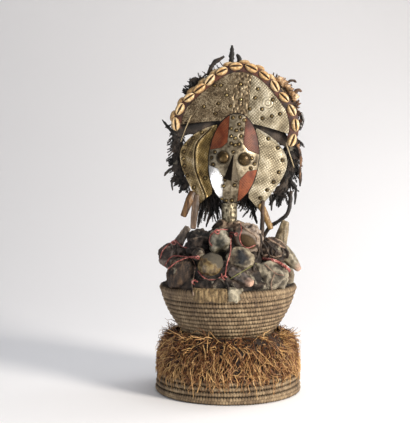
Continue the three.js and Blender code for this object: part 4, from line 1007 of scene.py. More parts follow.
def swirled(x, z):
    """Beaten sheet whose creases run in loose swirls."""
    turn = 2.6 * uneven(x, z, 24, 24, 0.0) + 1.2
    along = x * math.cos(turn) + z * math.sin(turn)
    across = z * math.cos(turn) - x * math.sin(turn)
    crease = uneven(across, along, 2.6, 26, 2.0)
    dents = 0.8 * MM * crease + rolling(x, z, 5.0)
    return dents, 0.8 * ramp_between(-crease, 0.08, 0.36)


def mottled(x, z):
    dents = hammered(x, z, 3.4, 4.4, 0.9, 7.0) + rolling(x, z, 3.0)
    return dents, 0.6 * ramp_between(-dents, 0.1 * MM, 0.45 * MM)


def gridded(x, z, first=52, second=-38, pitch=3.7, ring=None):
    """Grid of engraved lines, with rings of its own round an ornament."""
    lines = max(hatch(x, z, first, pitch, 0.26), 0.85 * hatch(x, z, second, pitch, 0.24))
    if ring:
        r = math.hypot(x - ring[0], z - ring[1])
        if r < ring[2]:
            lines = max(0.0, math.cos(r / ring[2] * 2.5 * math.tau)) ** 2
    fade = 0.75 + 0.5 * uneven(x, z, 16, 16, 4.0)
    lines = min(1.0, max(0.0, lines * fade))
    return rolling(x, z, 1.0) - 0.35 * MM * lines, 0.72 * lines


def crest_sheet(name, left, right, pattern, spacing):
    edge = crescent_edge()
    curves = [crest_circle(BAND_INNER - SHEET_GAP), edge, face_ellipse(FACE_GAP)]
    curves += [[(x, 40 * PART), (x, 100 * PART)] for x in (left, right) if abs(x) < CREST_RADIUS]

    def inside(x, z):
        angle = math.atan2(x - CREST_X, z - CREST_Z)
        out = math.hypot(x - CREST_X, z - CREST_Z) / drawn_out(angle)
        on_crest = out < BAND_INNER - SHEET_GAP and face_share(x, z, FACE_GAP) > 1
        return left < x < right and on_crest and z > height_at(edge, x)

    return cut_sheet(name, curves, inside, crest_front, pattern, spacing, CREST_TACKS)


def make_crest_sheets(look):
    strip_left, strip_right = -5 * PART, 7 * PART
    gap = 0.3 * MM
    brown = brass_sheet("brown patinated brass", [look.brown_dark[:], look.brown[:], look.brown_light[:]])
    pale = brass_sheet("rubbed pale brass", [look.pale_dark[:], look.pale[:], look.pale_light[:]])
    ornament = (46.5 * MM, 170 * MM, 12 * MM)
    finished(crest_sheet("crescent_left_hammered", -1.0, strip_left - gap, swirled, look.mesh),
             brown, "brass_brown", "crescent_sheet_left")
    finished(crest_sheet("crescent_middle_hammered", strip_left, strip_right, mottled, look.mesh),
             brown, "brass_brown", "crescent_sheet_middle")
    finished(crest_sheet("crescent_right_engraved", strip_right + gap, 1.0,
                         lambda x, z: gridded(x, z, ring=ornament), look.mesh),
             pale, "brass_pale", "crescent_sheet_right")
    return pale


def lobe_sheet(name, side, part, pattern, spacing):
    """Sheet of a lobe. part is -1 for the outer side of the left lobe's seam, 1 for its inner side."""
    outline = lobe_edge(side)
    curves = [outline, face_ellipse(FACE_GAP)] + ([SEAM] if part else [])

    def inside(x, z):
        if face_share(x, z) < 1.02 or not within(outline, x, z):
            return False
        return not part or part * (x - seam_across(z)) > 0.2 * MM

    return cut_sheet(name, curves, inside, lobe_front, pattern, spacing, LOBE_TACKS)


def lobe_relief(x, z, along, pitch):
    """Grid with a raised rim along the lobe's outer edge and a dark seam between its two sheets."""
    raised, line = gridded(x, z, along, along + 90, pitch)
    if x < 0:
        seam = abs(x - seam_across(z))
        raised += 1.1 * MM * math.exp(-((seam - 2.6 * MM) / (1.2 * MM)) ** 2)
        raised += hammered(x, z, 7, 12, 0.9, 17.0)
        line = max(line, ramp_between(seam, 2.2 * MM, 0.8 * MM))
    edge_x = np.interp(z, [-3 * PART, 9.5 * PART, 21 * PART, 32 * PART, 44 * PART, 55 * PART],
                       [22 * PART, 29 * PART, 36.5 * PART, 38.8 * PART, 34 * PART, 14.2 * PART])
    rim = max(0.0, 1 - (edge_x - abs(x)) / (3 * MM))
    return raised + 0.6 * MM * rim, line * (1 - rim)


def make_lobe_sheets(look):
    gold = brass_sheet("worn gold brass", [look.gold_dark[:], look.gold[:], look.gold_light[:]])
    khaki = brass_sheet("worn khaki brass", [look.brown_dark[:], look.khaki[:], look.brown_light[:]])
    pale = bpy.data.materials["rubbed pale brass"]
    for name, side, part, along, pitch, material, slot in [
        ("left_outer", -1, -1, 70, 3.6, khaki, "brass_gold"),
        ("left_inner", -1, 1, 62, 3.4, gold, "brass_gold"),
        ("right", 1, 0, 38, 3.7, pale, "brass_pale"),
    ]:
        def pattern(x, z, along=along, pitch=pitch):
            return lobe_relief(x, z, along, pitch)
        sheet = lobe_sheet(f"lobe_{name}_engraved", side, part, pattern, look.mesh)
        finished(sheet, material, slot, f"lobe_sheet_{name}")


# Face

CROSS_HALF = [(5.6, 70), (5.6, 43), (9.5, 38.8), (20, 36.2), (20, 26.7), (10.3, 24), (5.6, 17.2), (5.2, -6)]


def cross_outline(grow):
    """Outline of the brass cross over the face: forehead, eye band and chin strip."""
    half = []
    for x, z in CROSS_HALF:
        out = 0.0 if z > 60 or z < 0 else math.copysign(grow, z - 31.5)
        half.append((x * PART + grow, z * PART + out))
    return half + [(-x, z) for x, z in reversed(half)]


def face_sheet(name, outline, keep, pattern, spacing):
    edge = face_ellipse(-SHEET)
    curves = [edge, outline + outline[:1], [(0, EYE_Z), (0, 1 * MM)]]

    def inside(x, z):
        return face_share(x, z, -SHEET) < 1 and keep(x, z, within(outline, x, z))

    return cut_sheet(name, curves, inside, face_front, pattern, spacing, FACE_TACKS)


def make_face_sheets(look):
    def plain(x, z):
        dents = hammered(x, z, 5, 5, 0.3, 12.0) + rolling(x, z, 8.0)
        # Painted shade: the cross darkens in a ring round each eye dome, where the dome meets it
        from_eye = math.hypot(abs(x) - EYE_X, z - EYE_Z)
        ring = ramp_between(from_eye, EYE_RADIUS + 2.6 * MM, EYE_RADIUS + 0.6 * MM)
        return dents, max(0.8 * ring, ramp_between(-dents, 0.05 * MM, 0.6 * MM))

    def rubbed(x, z):
        return rolling(x, z, 6.0), 0.3 * ramp_between(uneven(x, z, 6, 16, 9.0), 0.2, 0.7)

    def lined(degrees, pitch, depth):
        def pattern(x, z):
            worn = ramp_between(uneven(x, z, 14, 14, 7.0), -0.35, 0.35)
            line = hatch(x, z, degrees, pitch, 0.24) * worn
            return rolling(x, z, 6.0) - depth * MM * line, 0.85 * line
        return pattern

    cross = face_sheet("face_cross_brass", cross_outline(0.0), lambda x, z, on: on, plain, look.mesh)
    finished(cross, brass_sheet("khaki brass", [look.cross_dark[:], look.cross[:], look.cross_light[:]]),
             "brass_brown", "face_cross")
    orange = copper_sheet("orange copper", shades("#34160A #6C3016 #8C4A28"))
    dark_red = copper_sheet("dark copper", shades("#1E0C06 #40190D #58291A"))
    # Thin sheet metal that mirrors the light. Its colour is painted near white, as the bright highlight on
    # it
    bright = surface("mirror sheet with painted highlight", shades("#D2CEC8 #F0EEEA #FFFFFF"),
                     18, 2, (0.2, 0.3), metallic=0.95, relief=0.05, coat=linear("#B4AEA6"))
    panels = [
        ("face_panel_upper_left_engraved", -1, 1, orange, lined(52, 3.1, 0.25), "copper"),
        ("face_panel_upper_right_engraved", 1, 1, dark_red, lined(48, 2.9, 0.25), "copper"),
        ("face_panel_lower_left_rubbed", -1, -1, bright, rubbed, "bright_sheet"),
        ("face_panel_lower_right_engraved", 1, -1, orange, lined(-40, 3.4, 0.2), "copper"),
    ]
    around = cross_outline(0.3 * MM)
    for name, side, up, material, pattern, slot in panels:
        def keep(x, z, on, side=side, up=up):
            return not on and side * x > 0 and up * (z - EYE_Z) > 0
        panel = face_sheet(name, around, keep, pattern, look.mesh)
        finished(panel, material, slot, "face_panel_" + "_".join(name.split("_")[2:4]))


def domed(radius, depth, rings, sides):
    """Cap of a ball about Z, closed below."""
    vertices = [(0, 0, depth)]
    for i in range(1, rings + 1):
        angle = i / rings * math.pi / 2
        r, z = radius * math.sin(angle), depth * math.cos(angle)
        vertices += [polar(r, j * math.tau / sides, z) for j in range(sides)]
    return vertices, shell_faces(rings, sides, pointed=False)


def normal_at(front, x, z):
    """Outward normal of a front surface, in the head's frame."""
    step = 0.5 * MM
    y = front(x, z)
    slopes = (front(x + step, z) - y) / step, (front(x, z + step) - y) / step
    return Vector((slopes[0], -1, slopes[1])).normalized()


def place_shapes(name, shape, places, material):
    """Copies of a shape. Each place is a point, the way it faces, the way it lies and its size."""
    guide = mesh_object(name, [p[0] for p in places], [])
    for label, column in (("facing", 1), ("along", 2), ("size", 3)):
        point_values(guide.data, label, [list(p[column]) for p in places], "FLOAT_VECTOR")
    placed = grown(guide, placed_tree(), Shape=shape, Material=material)
    bpy.data.objects.remove(shape)
    return placed


def tack_places(front, spots, radius):
    places = []
    for x, z in [(x * MM, z * MM) for x, z in spots]:
        normal = normal_at(front, x, z)
        at = Vector((x, front(x, z) - OVER_WOOD, z)) - normal * 0.2 * MM
        size = radius * random.uniform(0.88, 1.1)
        places.append((at, normal, Vector((1, 0, 0)), (size, size, size)))
    return places


# Places of the tacks in the head's frame, across and up in millimetres
CREST_TACKS = [
    (-33, 191), (-43, 190), (-22, 176), (-34, 161), (-57, 154), (-37, 144), (-14, 159), (-1, 196), (2, 171),
    (28, 191), (25, 176), (18, 157), (38, 159), (54, 176), (55, 149), (40, 144), (68, 154),
]
FACE_TACKS = [
    (-7.7, 140), (3.8, 142), (11.2, 138), (2.9, 130.5), (-9, 122), (-0.3, 119.6), (7.9, 122.5),
    (-7.8, 109.4), (-1.1, 106.8), (8, 110.8), (-6.7, 97.7), (-0.1, 95.8), (6.1, 97.8), (-2.2, 84.3),
    (-31.8, 81.4), (-36.3, 72.1), (-32.6, 61.2), (29, 77), (34.6, 68.6), (29.3, 60.7),
    (-11.6, 38.6), (7, 39.5),
    (-12.7, 27.8), (5.2, 30.6), (-13, 6), (-6, 4), (3.6, 5),
]
LOBE_TACKS = [
    (-57, 112), (-70, 101.5), (-82, 90.1), (-83.5, 77.7), (-83.4, 66), (-80.5, 54), (-74, 39), (-60.9, 20),
    (-43.2, 37.9), (53.4, 112), (70.6, 98.5), (80.4, 79.1), (76.4, 58.5), (69, 41.6), (60, 27.4),
    (50, 13.2),
]


def tacks_on(spots):
    """Lookup for how near a place on a sheet is to its next tack."""
    found = kdtree.KDTree(len(spots))
    for i, (x, z) in enumerate(spots):
        found.insert((x * MM, z * MM, 0), i)
    found.balance()
    return found


def make_tacks(look):
    # Cast brass, rubbed on top: small sharp highlights over dark patina
    material = surface("brass tack heads", shades("#3A2E1C #6E5C3C #A39468"),
                       4, 1, (0.22, 0.4), metallic=0.85, relief=0.1, by_tone=0.5)
    groups = [
        ("crest_tacks", crest_front, CREST_TACKS),
        ("face_tacks", face_front, FACE_TACKS),
        ("lobe_tacks", lobe_front, LOBE_TACKS),
    ]
    random.seed(12)
    for name, front, spots in groups:
        head = mesh_object("tack_head", *domed(1.0, 0.85, 3, 10))
        tacks = place_shapes(name, head, tack_places(front, spots, look.tack), material)
        finished(moved(tacks, HEAD), material, "brass_pale", sharp=60)


def make_eyes_and_nose():
    material = polished_dark_metal()
    for name, node, side in (("eye_left_dome", "eye_left", -1), ("eye_right_dome", "eye_right", 1)):
        normal = normal_at(face_front, side * EYE_X, EYE_Z)
        ball = mesh_object(name, *domed(EYE_RADIUS, 0.62 * EYE_RADIUS, 10, 32))
        turn = Vector((0, 0, 1)).rotation_difference(normal).to_matrix().to_4x4()
        at = Vector((side * EYE_X, face_front(side * EYE_X, EYE_Z) - OVER_WOOD, EYE_Z))
        moved(ball, HEAD @ Matrix.Translation(at) @ turn)
        finished(ball, material, "dark_metal", node)
    finished(nose_ridge(), brass_sheet("nose brass", shades("#40382C #6E6454 #978C76")),
             "dark_metal", "nose", sharp=30)


def nose_ridge():
    """Wedge from between the eyes down to a flat base. Its left side, its right edge and the lip under its
    base are painted dark as shade, and the rest a little darker.
    """
    top, base = 34.5 * PART, 17 * PART
    rows, columns = 26, 14
    vertices = []
    dark = []
    for i in range(rows + 1):
        t = i / rows
        z = top + (base - top) * t
        half = (0.5 + 5.0 * t) * PART
        rise = (0.6 + 10.8 * t ** 0.8) * MM
        for j in range(columns + 1):
            u = j / columns * 2 - 1
            x = -0.3 * PART + u * half
            ridge = (1 - abs(u)) ** 0.85
            y = face_front(x, z) - OVER_WOOD - rise * ridge - hammered(x, z, 4, 4, 0.3, 2.0)
            vertices.append((x, y, z - 1.2 * MM * ridge * t))
            # Painted shade on the side away from the light and along the right edge
            shadow = max(ramp_between(x, 1.0 * MM, -1.0 * MM), 0.9 * ramp_between(u, 0.8, 1.0))
            dark.append(max(shadow, 0.25))
    # Painted shade: the lip under the base is fully dark
    for j in range(columns + 1):
        x = -0.3 * PART + (j / columns * 2 - 1) * 5.5 * PART
        vertices.append((x, face_front(x, base) + 1 * MM, base + 2 * MM))
        dark.append(1.0)
    each = columns + 1
    faces = [(i * each + j, i * each + j + 1, (i + 1) * each + j + 1, (i + 1) * each + j)
             for i in range(rows + 1) for j in range(columns)]
    ridge = mesh_object("nose_ridge", vertices, faces)
    point_values(ridge.data, "coat", dark)
    point_values(ridge.data, "tone", [0.5] * len(vertices))
    with_modifier(ridge, "SOLIDIFY", thickness=SHEET, offset=1.0)
    return moved(ridge, HEAD)


# Cowries and their band

def cowrie_shape():
    """Cowrie of half length, half width and height 1, with its slit and teeth on the outer side."""
    angles = [0, 6, 12, 19, 28, 42, 62, 90, 125, 180]
    angles = angles + [360 - a for a in reversed(angles[1:-1])]
    rows = 15
    vertices = [(-1, 0, 0)]
    # The coat is painted shade: full in the slit, brown on the sides as they turn away, and light at the
    # two ends
    dark = [0.3]
    for i in range(1, rows):
        x = -math.cos(i / rows * math.pi)
        radius = (1 - abs(x) ** 2.3) ** 0.55
        for degrees in angles:
            angle = math.radians(degrees)
            y, z = radius * math.sin(angle), radius * math.cos(angle)
            slit = 0.0
            if z > 0:
                slit = math.exp(-(y / (0.25 - 0.13 * abs(x))) ** 2) * (1 - x ** 8)
                teeth = math.exp(-((abs(y) - 0.3) / 0.13) ** 2) * math.cos(i * math.pi)
                z = z * 0.8 - 0.5 * slit + 0.06 * teeth
            else:
                z *= 0.25
            vertices.append((x, y * (1 - 0.1 * x), z))
            # Painted shade on the sides, where the shell turns away from the front
            edge = 0.55 * ramp_between(abs(y) / max(radius, 0.05), 0.45, 1.0)
            dark.append(min(1.0, max(1.5 * slit, edge)))
    vertices.append((1, 0, 0))
    dark.append(0.3)
    faces = [tuple(reversed(face)) for face in shell_faces(rows - 1, len(angles))]
    shell = mesh_object("cowrie", vertices, faces)
    point_values(shell.data, "coat", dark)
    return shell


def cowrie_places(look):
    """A row on the band's front and one on its rim between them."""
    pitch = math.radians(14.8)
    turned = math.radians(2.5)
    half = Vector((look.cowrie_length / 2, look.cowrie_width / 2, look.cowrie_height))
    middle = CREST_RADIUS - BAND_WIDTH / 4
    places = []
    for i in range(27):
        on_rim = i % 2 == 1
        angle = turned + (i - 13) / 2 * pitch
        radius = CREST_RADIUS + 2 * MM if on_rim else middle
        r = radius * drawn_out(angle)
        slope = 2 * CREST_SKEW * math.cos(2 * angle) - 4 * CREST_POINT * math.sin(4 * angle)
        turn = angle - math.atan2(slope, drawn_out(angle)) + random.uniform(-0.2, 0.2)
        out = Vector((math.sin(turn), 0, math.cos(turn)))
        along = Vector((math.cos(turn), 0, -math.sin(turn)))
        if on_rim:
            # On the right the row lies further back, out of sight from the front
            r -= 7 * MM * ramp_between(angle, math.radians(30), math.radians(60))
            at = Vector(crest_at(angle, r, BACK_Y - 6 * MM))
            facing = (out + Vector((0, -0.35, 0))).normalized()
            size = half * 0.86
        else:
            y = crest_y(middle / CREST_RADIUS) - 2.4 * MM
            at = Vector(crest_at(angle, r, y))
            facing = (Vector((0, -1, 0)) + out * 0.12).normalized()
            size = half
        places.append((at, facing, along * random.choice((-1, 1)), size * random.uniform(0.94, 1.04)))
    return places


def crest_band():
    """Leather band folded round the crest's edge, a little uneven."""
    inner_y = crest_y(BAND_INNER / CREST_RADIUS)
    section = [
        (BAND_INNER, inner_y - 0.3 * MM), (BAND_INNER, inner_y - 2.0 * MM),
        (BAND_INNER + 5 * MM, inner_y - 1.9 * MM),
        (CREST_RADIUS - 3 * MM, CREST_EDGE_Y - 2.4 * MM),
        (CREST_RADIUS + 1.2 * MM, CREST_EDGE_Y - 1.2 * MM),
        (CREST_RADIUS + 2.1 * MM, CREST_EDGE_Y + 2 * MM), (CREST_RADIUS + 2.1 * MM, BACK_Y - 1 * MM),
        (CREST_RADIUS + 0.3 * MM, BACK_Y - 1 * MM), (CREST_RADIUS + 0.3 * MM, CREST_EDGE_Y - 0.3 * MM),
    ]
    reach = math.radians(98)
    steps = 150
    vertices = []
    for i in range(steps + 1):
        angle = -reach + 2 * reach * i / steps
        for j, (r, y) in enumerate(section):
            crease = 0.5 * MM * noise.noise(Vector((angle * 22, j * 0.7, 3.0)))
            out = (r + (crease if 0 < j < 7 else 0)) * drawn_out(angle)
            vertices.append(crest_at(angle, out, y - (abs(crease) if 0 < j < 5 else 0)))
    each = len(section)
    faces = tube_faces(steps, each)
    faces.append(tuple(reversed(range(each))))
    faces.append(tuple(steps * each + j for j in range(each)))
    return moved(mesh_object("cowrie_band_hide", vertices, faces), HEAD)


def make_cowries(look):
    random.seed(21)
    hide = rawhide()
    band = crest_band()
    finished(band, hide, "cowrie", "cowrie_band", sharp=40)
    shell_look = cowrie_shell()
    shells = place_shapes("cowrie_shells", cowrie_shape(), cowrie_places(look), shell_look)
    finished(moved(shells, HEAD), shell_look, "cowrie", sharp=0)


# Bars, strips and lines

def bar(name, points, radius_at, sides=8, flat=1.0, facing=(0, -1, 0), wobble=0.0):
    """Closed bar along a smooth curve through points. radius_at gives its half width at a share of the
    way, and flat is its depth towards facing as a share of its width."""
    route = [Vector(p) for p in catmull(points, 6)]
    count = len(route)
    vertices = [route[0]]
    for i, at in enumerate(route):
        along = (route[min(i + 1, count - 1)] - route[max(i - 1, 0)]).normalized()
        side = along.cross(Vector(facing)).normalized()
        front = side.cross(along)
        for j in range(sides):
            angle = j / sides * math.tau
            r = radius_at(i / (count - 1))
            r *= 1 + wobble * noise.noise(at / (4 * MM) + Vector((j * 1.7, 0, 0)))
            vertices.append(at + side * math.cos(angle) * r + front * math.sin(angle) * r * flat)
    vertices.append(route[-1])
    piece = mesh_object(name, vertices, shell_faces(count, sides))
    bm = bmesh.new()
    bm.from_mesh(piece.data)
    bmesh.ops.recalc_face_normals(bm, faces=bm.faces)
    bm.to_mesh(piece.data)
    bm.free()
    return piece


# Relic bundle

def folds(p, size, depth):
    """Relief of folds of a size and a depth in millimetres: sharp crests with round hollows between."""
    return depth * MM * (1 - 2.4 * abs(noise.noise(p / (size * MM))))


def hide_relief(p):
    return folds(p, 14, 3.6) + folds(p, 5.5, 1.4)


def crust_relief(p):
    return folds(p, 14, 2.8) + bumps(p, 5, 1.4) + bumps(p, 2.2, 0.6)


def bark_relief(p):
    streak = Vector((p.x / (3 * MM), p.y / (3 * MM), p.z / (15 * MM)))
    return 1.1 * MM * noise.noise(streak) + bumps(p, 2, 0.4)


def shell_relief(p):
    return bumps(p, 5, 0.25)


def wad_relief(p):
    return folds(p, 23, 4.2) + folds(p, 8, 1.7) + bumps(p, 2.4, 0.4)


def seed_crust(p):
    """The seed is rubbed smooth at its lower front, and crusted above."""
    lift = 0.5 * (p.x + 25 * MM) + 0.85 * (p.z - 218 * MM) + bumps(p, 6, 4)
    return ramp_between(lift, -1 * MM, 3 * MM)


def nut_share(p):
    """0 in the middle of the nut that shows in its pouch, 1 at its edge."""
    turn = math.radians(-38)
    x, z = p.x - 31 * MM, p.z - 250 * MM
    along, across = x * math.cos(turn) + z * math.sin(turn), z * math.cos(turn) - x * math.sin(turn)
    return math.hypot(along / (15.5 * MM), across / (9.5 * MM)) if p.y < -40 * MM else 9.0


def nut_relief(p):
    share = nut_share(p)
    rim = 2.6 * MM * math.exp(-((share - 1.2) / 0.22) ** 2)
    return rim + (2.2 * MM * (1 - share * share) if share < 1 else hide_relief(p) * min(1.0, share - 1))


def nut_coat(p):
    return ramp_between(nut_share(p), 1.05, 0.95)


def near(at, reach, upright=1.0):
    """Coat that is 1 at a point and ends so many millimetres from it. upright below 1 draws it out in
    height."""
    end = reach * MM

    def coat(p):
        off = p - at
        off.z *= upright
        return ramp_between(off.length + bumps(p, 6, 5), end, end * 0.45)
    return coat


def corner(node, x, y, z):
    """Place in a node's box, each share from 0 to 1."""
    low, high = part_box(node)
    return Vector([a + (b - a) * share for a, b, share in zip(low, high, (x, y, z))])


GREY_CRUST = linear("#8A8372")
BUNDLE = {
    # node: slot, relief, three tones, crust share, and a coat's colour and place if it has one
    # The mound shows only between the packets, and it is painted near black as the shade there
    "bundle_pack": ("crusted_leather", wad_relief, "#0B0806 #1E1610 #423428", 0.15),
    "neck_wrap": ("crusted_leather", hide_relief, "#1E150F #4C3A2C #94806A", 0.1),
    "seed_front": ("nutshell", shell_relief, "#2E2418 #665438 #8E7B54", 0, "#4C463A", seed_crust),
    "bark_pouch_left": ("bark", bark_relief, "#0E0906 #2E2016 #5E4934", 0.06),
    "clay_packet_right": ("clay", wad_relief, "#1E1914 #665E50 #AEA48E", 0.15),
    "crusted_lump_middle": ("clay", crust_relief, "#2C2219 #665A48 #A89D84", 0.15, "#101318",
                            near(corner("crusted_lump_middle", 0.56, 0, 0.66), 16, 0.6)),
    "half_nut_upper_right": ("nutshell", nut_relief, "#3E332B #77675A #A59585", 0.15, "#4A381E",
                             nut_coat),
    "gourd_upper": ("nutshell", wad_relief, "#1C1A15 #565142 #A39C8A", 0.2, "#1C1D16",
                    near(corner("gourd_upper", 0.45, 0, 0.55), 12)),
    "small_lump_right": ("clay", crust_relief, "#2E261F #5A4C3E #857A68", 0.4),
    "knob_left": ("crusted_leather", hide_relief, "#1A130E #3A2E24 #625444", 0.12),
    "packet_upper_left": ("crusted_leather", hide_relief, "#1E1714 #4C3F38 #8A7A70", 0.2),
    "dark_packet_left": ("crusted_leather", hide_relief, "#0A0705 #1C140F #3A2D23", 0.05),
    "leather_roll_right": ("crusted_leather", hide_relief, "#15100C #382B22 #6A5A4A", 0.1),
    "horn_front": ("horn", shell_relief, "#1E1A18 #443A34 #6E6258", 0.25, "#C4A08A",
                   near(corner("horn_front", 0.95, 0.1, 0.1), 13)),
    "horn_right_tip": ("horn", shell_relief, "#3E382C #746B58 #988E78", 0.25, "#C2A190",
                       near(corner("horn_right_tip", 1, 0.2, 0), 17)),
    "horn_right_upright": ("horn", bark_relief, "#2E261A #6E6048 #A8987A", 0.1),
    "horn_left": ("horn", bark_relief, "#2A231E #5E534A #94877A", 0.15),
    "bark_flap_rim": ("bark", bark_relief, "#443421 #7A6442 #A89068", 0),
    "crusted_flap_rim": ("clay", crust_relief, "#4A4438 #857D6A #B8AF98", 0.2),
}


def make_bundle(look):
    for node, (slot, relief, tones, crust, *coat) in BUNDLE.items():
        flap = "flap" in node
        voxel = look.mound_voxel if node == "bundle_pack" else look.voxel * (0.75 if flap else 1)
        rounds = 3 if flap else look.smoothing // 2 if slot == "horn" else look.smoothing
        piece = carved(node + "_form", [node], voxel, rounds, relief)
        if coat:
            point_values(piece.data, "coat", [coat[1](v.co) for v in piece.data.vertices])
        # Painted shade and highlight: each piece is darker in its hollows and lighter on its ridges
        point_values(piece.data, "tone", by_height([relief(v.co) for v in piece.data.vertices]))
        # Hide, clay and bark are matt and dusty, nuts and horns have the soft gloss of handling,
        # and the front seed is polished. Dry crust lies over most of them in grey spots
        glossy = slot in ("nutshell", "horn")
        gloss = (0.1, 0.25) if node == "seed_front" else (0.28, 0.5) if glossy else (0.62, 0.88)
        material = surface(
            f"{node} {slot}".replace("_", " "), shades(tones), 15, 1.7, gloss,
            relief=0.5 if glossy else 0.7, by_tone=0.7, coat=linear(coat[0]) if coat else None,
            crust=(GREY_CRUST, crust) if crust else None)
        finished(piece, material, slot, node, sharp=0)


# Cords and strips over the bundle

# Plane that the routes of the cords are drawn in, as seen from the camera
CORD_PLANE_Y = -60 * MM


def covering():
    """What lies on top of the bundle, for laying cords on it."""
    graph = bpy.context.evaluated_depsgraph_get()
    names = [node + "_form" for node in BUNDLE] + ["bowl_basket_coils"]
    return [BVHTree.FromObject(bpy.data.objects[name], graph) for name in names]


def laid_on(trees, route, lift):
    """Points on top of what a line meets as seen from the front, pulled straight over its hollows."""
    found = []
    for x, z in catmull([(x * MM, z * MM) for x, z in route], 6):
        ray = (Vector((x, CORD_PLANE_Y, z)) - VIEWPOINT).normalized()
        hits = [hit for hit in (tree.ray_cast(VIEWPOINT, ray) for tree in trees) if hit[0]]
        if hits:
            nearest = min(hits, key=lambda hit: hit[3])
            found.append([ray, nearest[3] - lift])
    for _ in range(4):
        for before, here, after in zip(found, found[1:], found[2:]):
            here[1] = min(here[1], (before[1] + after[1]) / 2)
    return [VIEWPOINT + ray * distance for ray, distance in found]


def knot(trees, x, z, size):
    """Small loop knot: one and a half turns with a crossing."""
    middle = laid_on(trees, [(x - 0.1, z), (x + 0.1, z)], 1.5 * MM)[0]
    points = []
    for i in range(30):
        angle = i / 29 * math.tau * 1.6
        radius = size * (1 + 0.22 * math.cos(2.4 * angle))
        out = (2.4 + 0.7 * math.sin(1.7 * angle)) * MM
        points.append(middle + Vector((math.cos(angle) * radius, -out, math.sin(angle) * radius * 0.8)))
    return points


# Routes over the bundle, across and up in millimetres
CORD_ROUTES = {
    "cord_left_upper": [
        [(-108.4, 221.9), (-105.2, 232.8), (-102, 237.9), (-95.6, 244), (-89.2, 249), (-82.9, 245.8)],
        [(-87.6, 253.6), (-83, 251.2), (-75.1, 242.7), (-65.7, 239.6)],
    ],
    "cord_left_lower": [
        [(-50.2, 225.2), (-60.6, 225.2), (-81.3, 217.1), (-94.1, 207.2), (-102.9, 199.6)],
        [(-50.2, 223.3), (-70.1, 225.5), (-87.7, 226.4), (-97.3, 216.8), (-103.7, 202.4)],
    ],
    "cord_seed": [[(-47.8, 202.5), (-38.3, 191.8), (-26, 188.6), (-11.8, 192.7), (-10, 198.3)]],
    "cord_middle": [[(4.1, 258.7), (4.1, 246.7), (4.1, 233.3), (-0.7, 217.3), (-3.8, 201.5), (-4, 194)]],
    "cord_nut": [
        [(19.9, 277.7), (21.4, 268.1), (18.4, 257), (21.4, 245.8), (31, 239.5), (43.7, 244.3)],
        [(-0.7, 268.3), (-10.1, 269), (-19.6, 266.5), (-27.6, 260.1), (-29.2, 248.9), (-25.5, 242.5)],
    ],
}
KNOTS = {
    "cord_left_upper": [(-86, 248, 3.4)],
    "cord_left_lower": [(-48.5, 224.5, 2.6), (-52.9, 184.5, 4.2)],
    "cord_seed": [(-5.6, 192.2, 3.4)],
    "cord_middle": [(4.1, 258, 2.6)],
    "cord_nut": [(-17.6, 265.5, 3.6), (4.7, 262.5, 2.4), (8.5, 262.3, 2.4), (12.5, 261.6, 2.4)],
}
THICK_CORD = [(54.7, 222.3), (69, 220.7), (81.7, 216), (91.1, 209.8), (97.5, 203.4)]
GREEN_STRAW = [(4.2, 190.3), (18, 199), (43.7, 214.3)]
PALE_THREADS = [
    [(-60.6, 224.9), (-54.2, 216.9), (-52.1, 210.5), (-52.6, 205.7)],
    [(60.9, 258.6), (74.6, 249.1), (89.4, 239.6)],
    [(73.8, 195.3), (69.1, 187.5), (69.6, 180)],
    [(58, 214), (76, 199), (88, 196)],
]


# Thongs of dark hide and of pale hide, each with its half thickness in millimetres
THONG_FLAT = 0.7
DARK_THONGS = [
    (1.9, [(50.7, 262), (53.1, 252.5), (51.5, 239.8), (54.7, 228.7)]),
    (1.5, [(57.8, 252.5), (65.7, 244.6), (75.2, 236.6), (83.2, 228.7)]),
    (1.4, [(53.1, 250.9), (61, 239.8), (64.2, 228.7)]),
    (1.4, [(64.2, 246.1), (63.4, 236.6), (65.8, 225.5)]),
    (1.3, [(72.1, 244.6), (68.9, 235), (71.3, 223.9)]),
    (1.3, [(78.4, 238.2), (75.3, 230.3), (76.9, 222.4)]),
    (1.5, [(84.7, 239.8), (87.9, 233.5), (84.8, 225.6)]),
    (1.7, [(46.8, 244.5), (50, 235), (46.8, 223.9)]),
    (1.7, [(91, 238.3), (95.8, 231.9), (94.2, 224)]),
    (1.9, [(46.8, 222.3), (42.1, 215.9), (40.6, 203.2)]),
    (1.7, [(-10.2, 282.5), (-19.7, 277.7), (-26, 269.8)]),
    (1.7, [(2.5, 244.4), (4.1, 238.1), (-3.8, 230.1)]),
    (2.0, [(-65.6, 252.2), (-54.5, 253.8), (-45, 257), (-32.3, 255.5)]),
    (1.6, [(-64, 239.5), (-51.3, 239.5), (-38.7, 233.2)]),
    (1.6, [(-84.6, 250.6), (-83.1, 239.5), (-84.7, 228.3)]),
    (1.4, [(-45, 190.2), (-35.5, 188.6), (-22.8, 190.3), (-10.1, 188.7), (-3.8, 180.8)]),
    (1.9, [(-0.6, 193.5), (-2.2, 184), (1, 174.4), (-0.6, 166)]),
]
PALE_THONGS = [
    (1.3, [(59.4, 257.2), (68.9, 250.9), (78.4, 246.2), (86.3, 239.8)]),
    (1.2, [(61, 260.4), (70.4, 255.7), (83.1, 250.9), (91, 243)]),
    (1.2, [(54, 225.5), (62.6, 228.7), (73.7, 225.5), (84.8, 227.1)]),
    (1.5, [(21.4, 276.2), (29.4, 268.3), (43.6, 258.8), (46.8, 250.9)]),
    (1.5, [(-0.7, 284.1), (10.4, 279.3), (18.3, 280.9)]),
    (1.1, [(73.8, 198.5), (70.7, 190.5), (68.3, 181), (69.9, 172)]),
    (0.9, [(-52.9, 202.9), (-54.5, 193.4), (-56.9, 180.6), (-56.1, 171), (-54.6, 163)]),
]


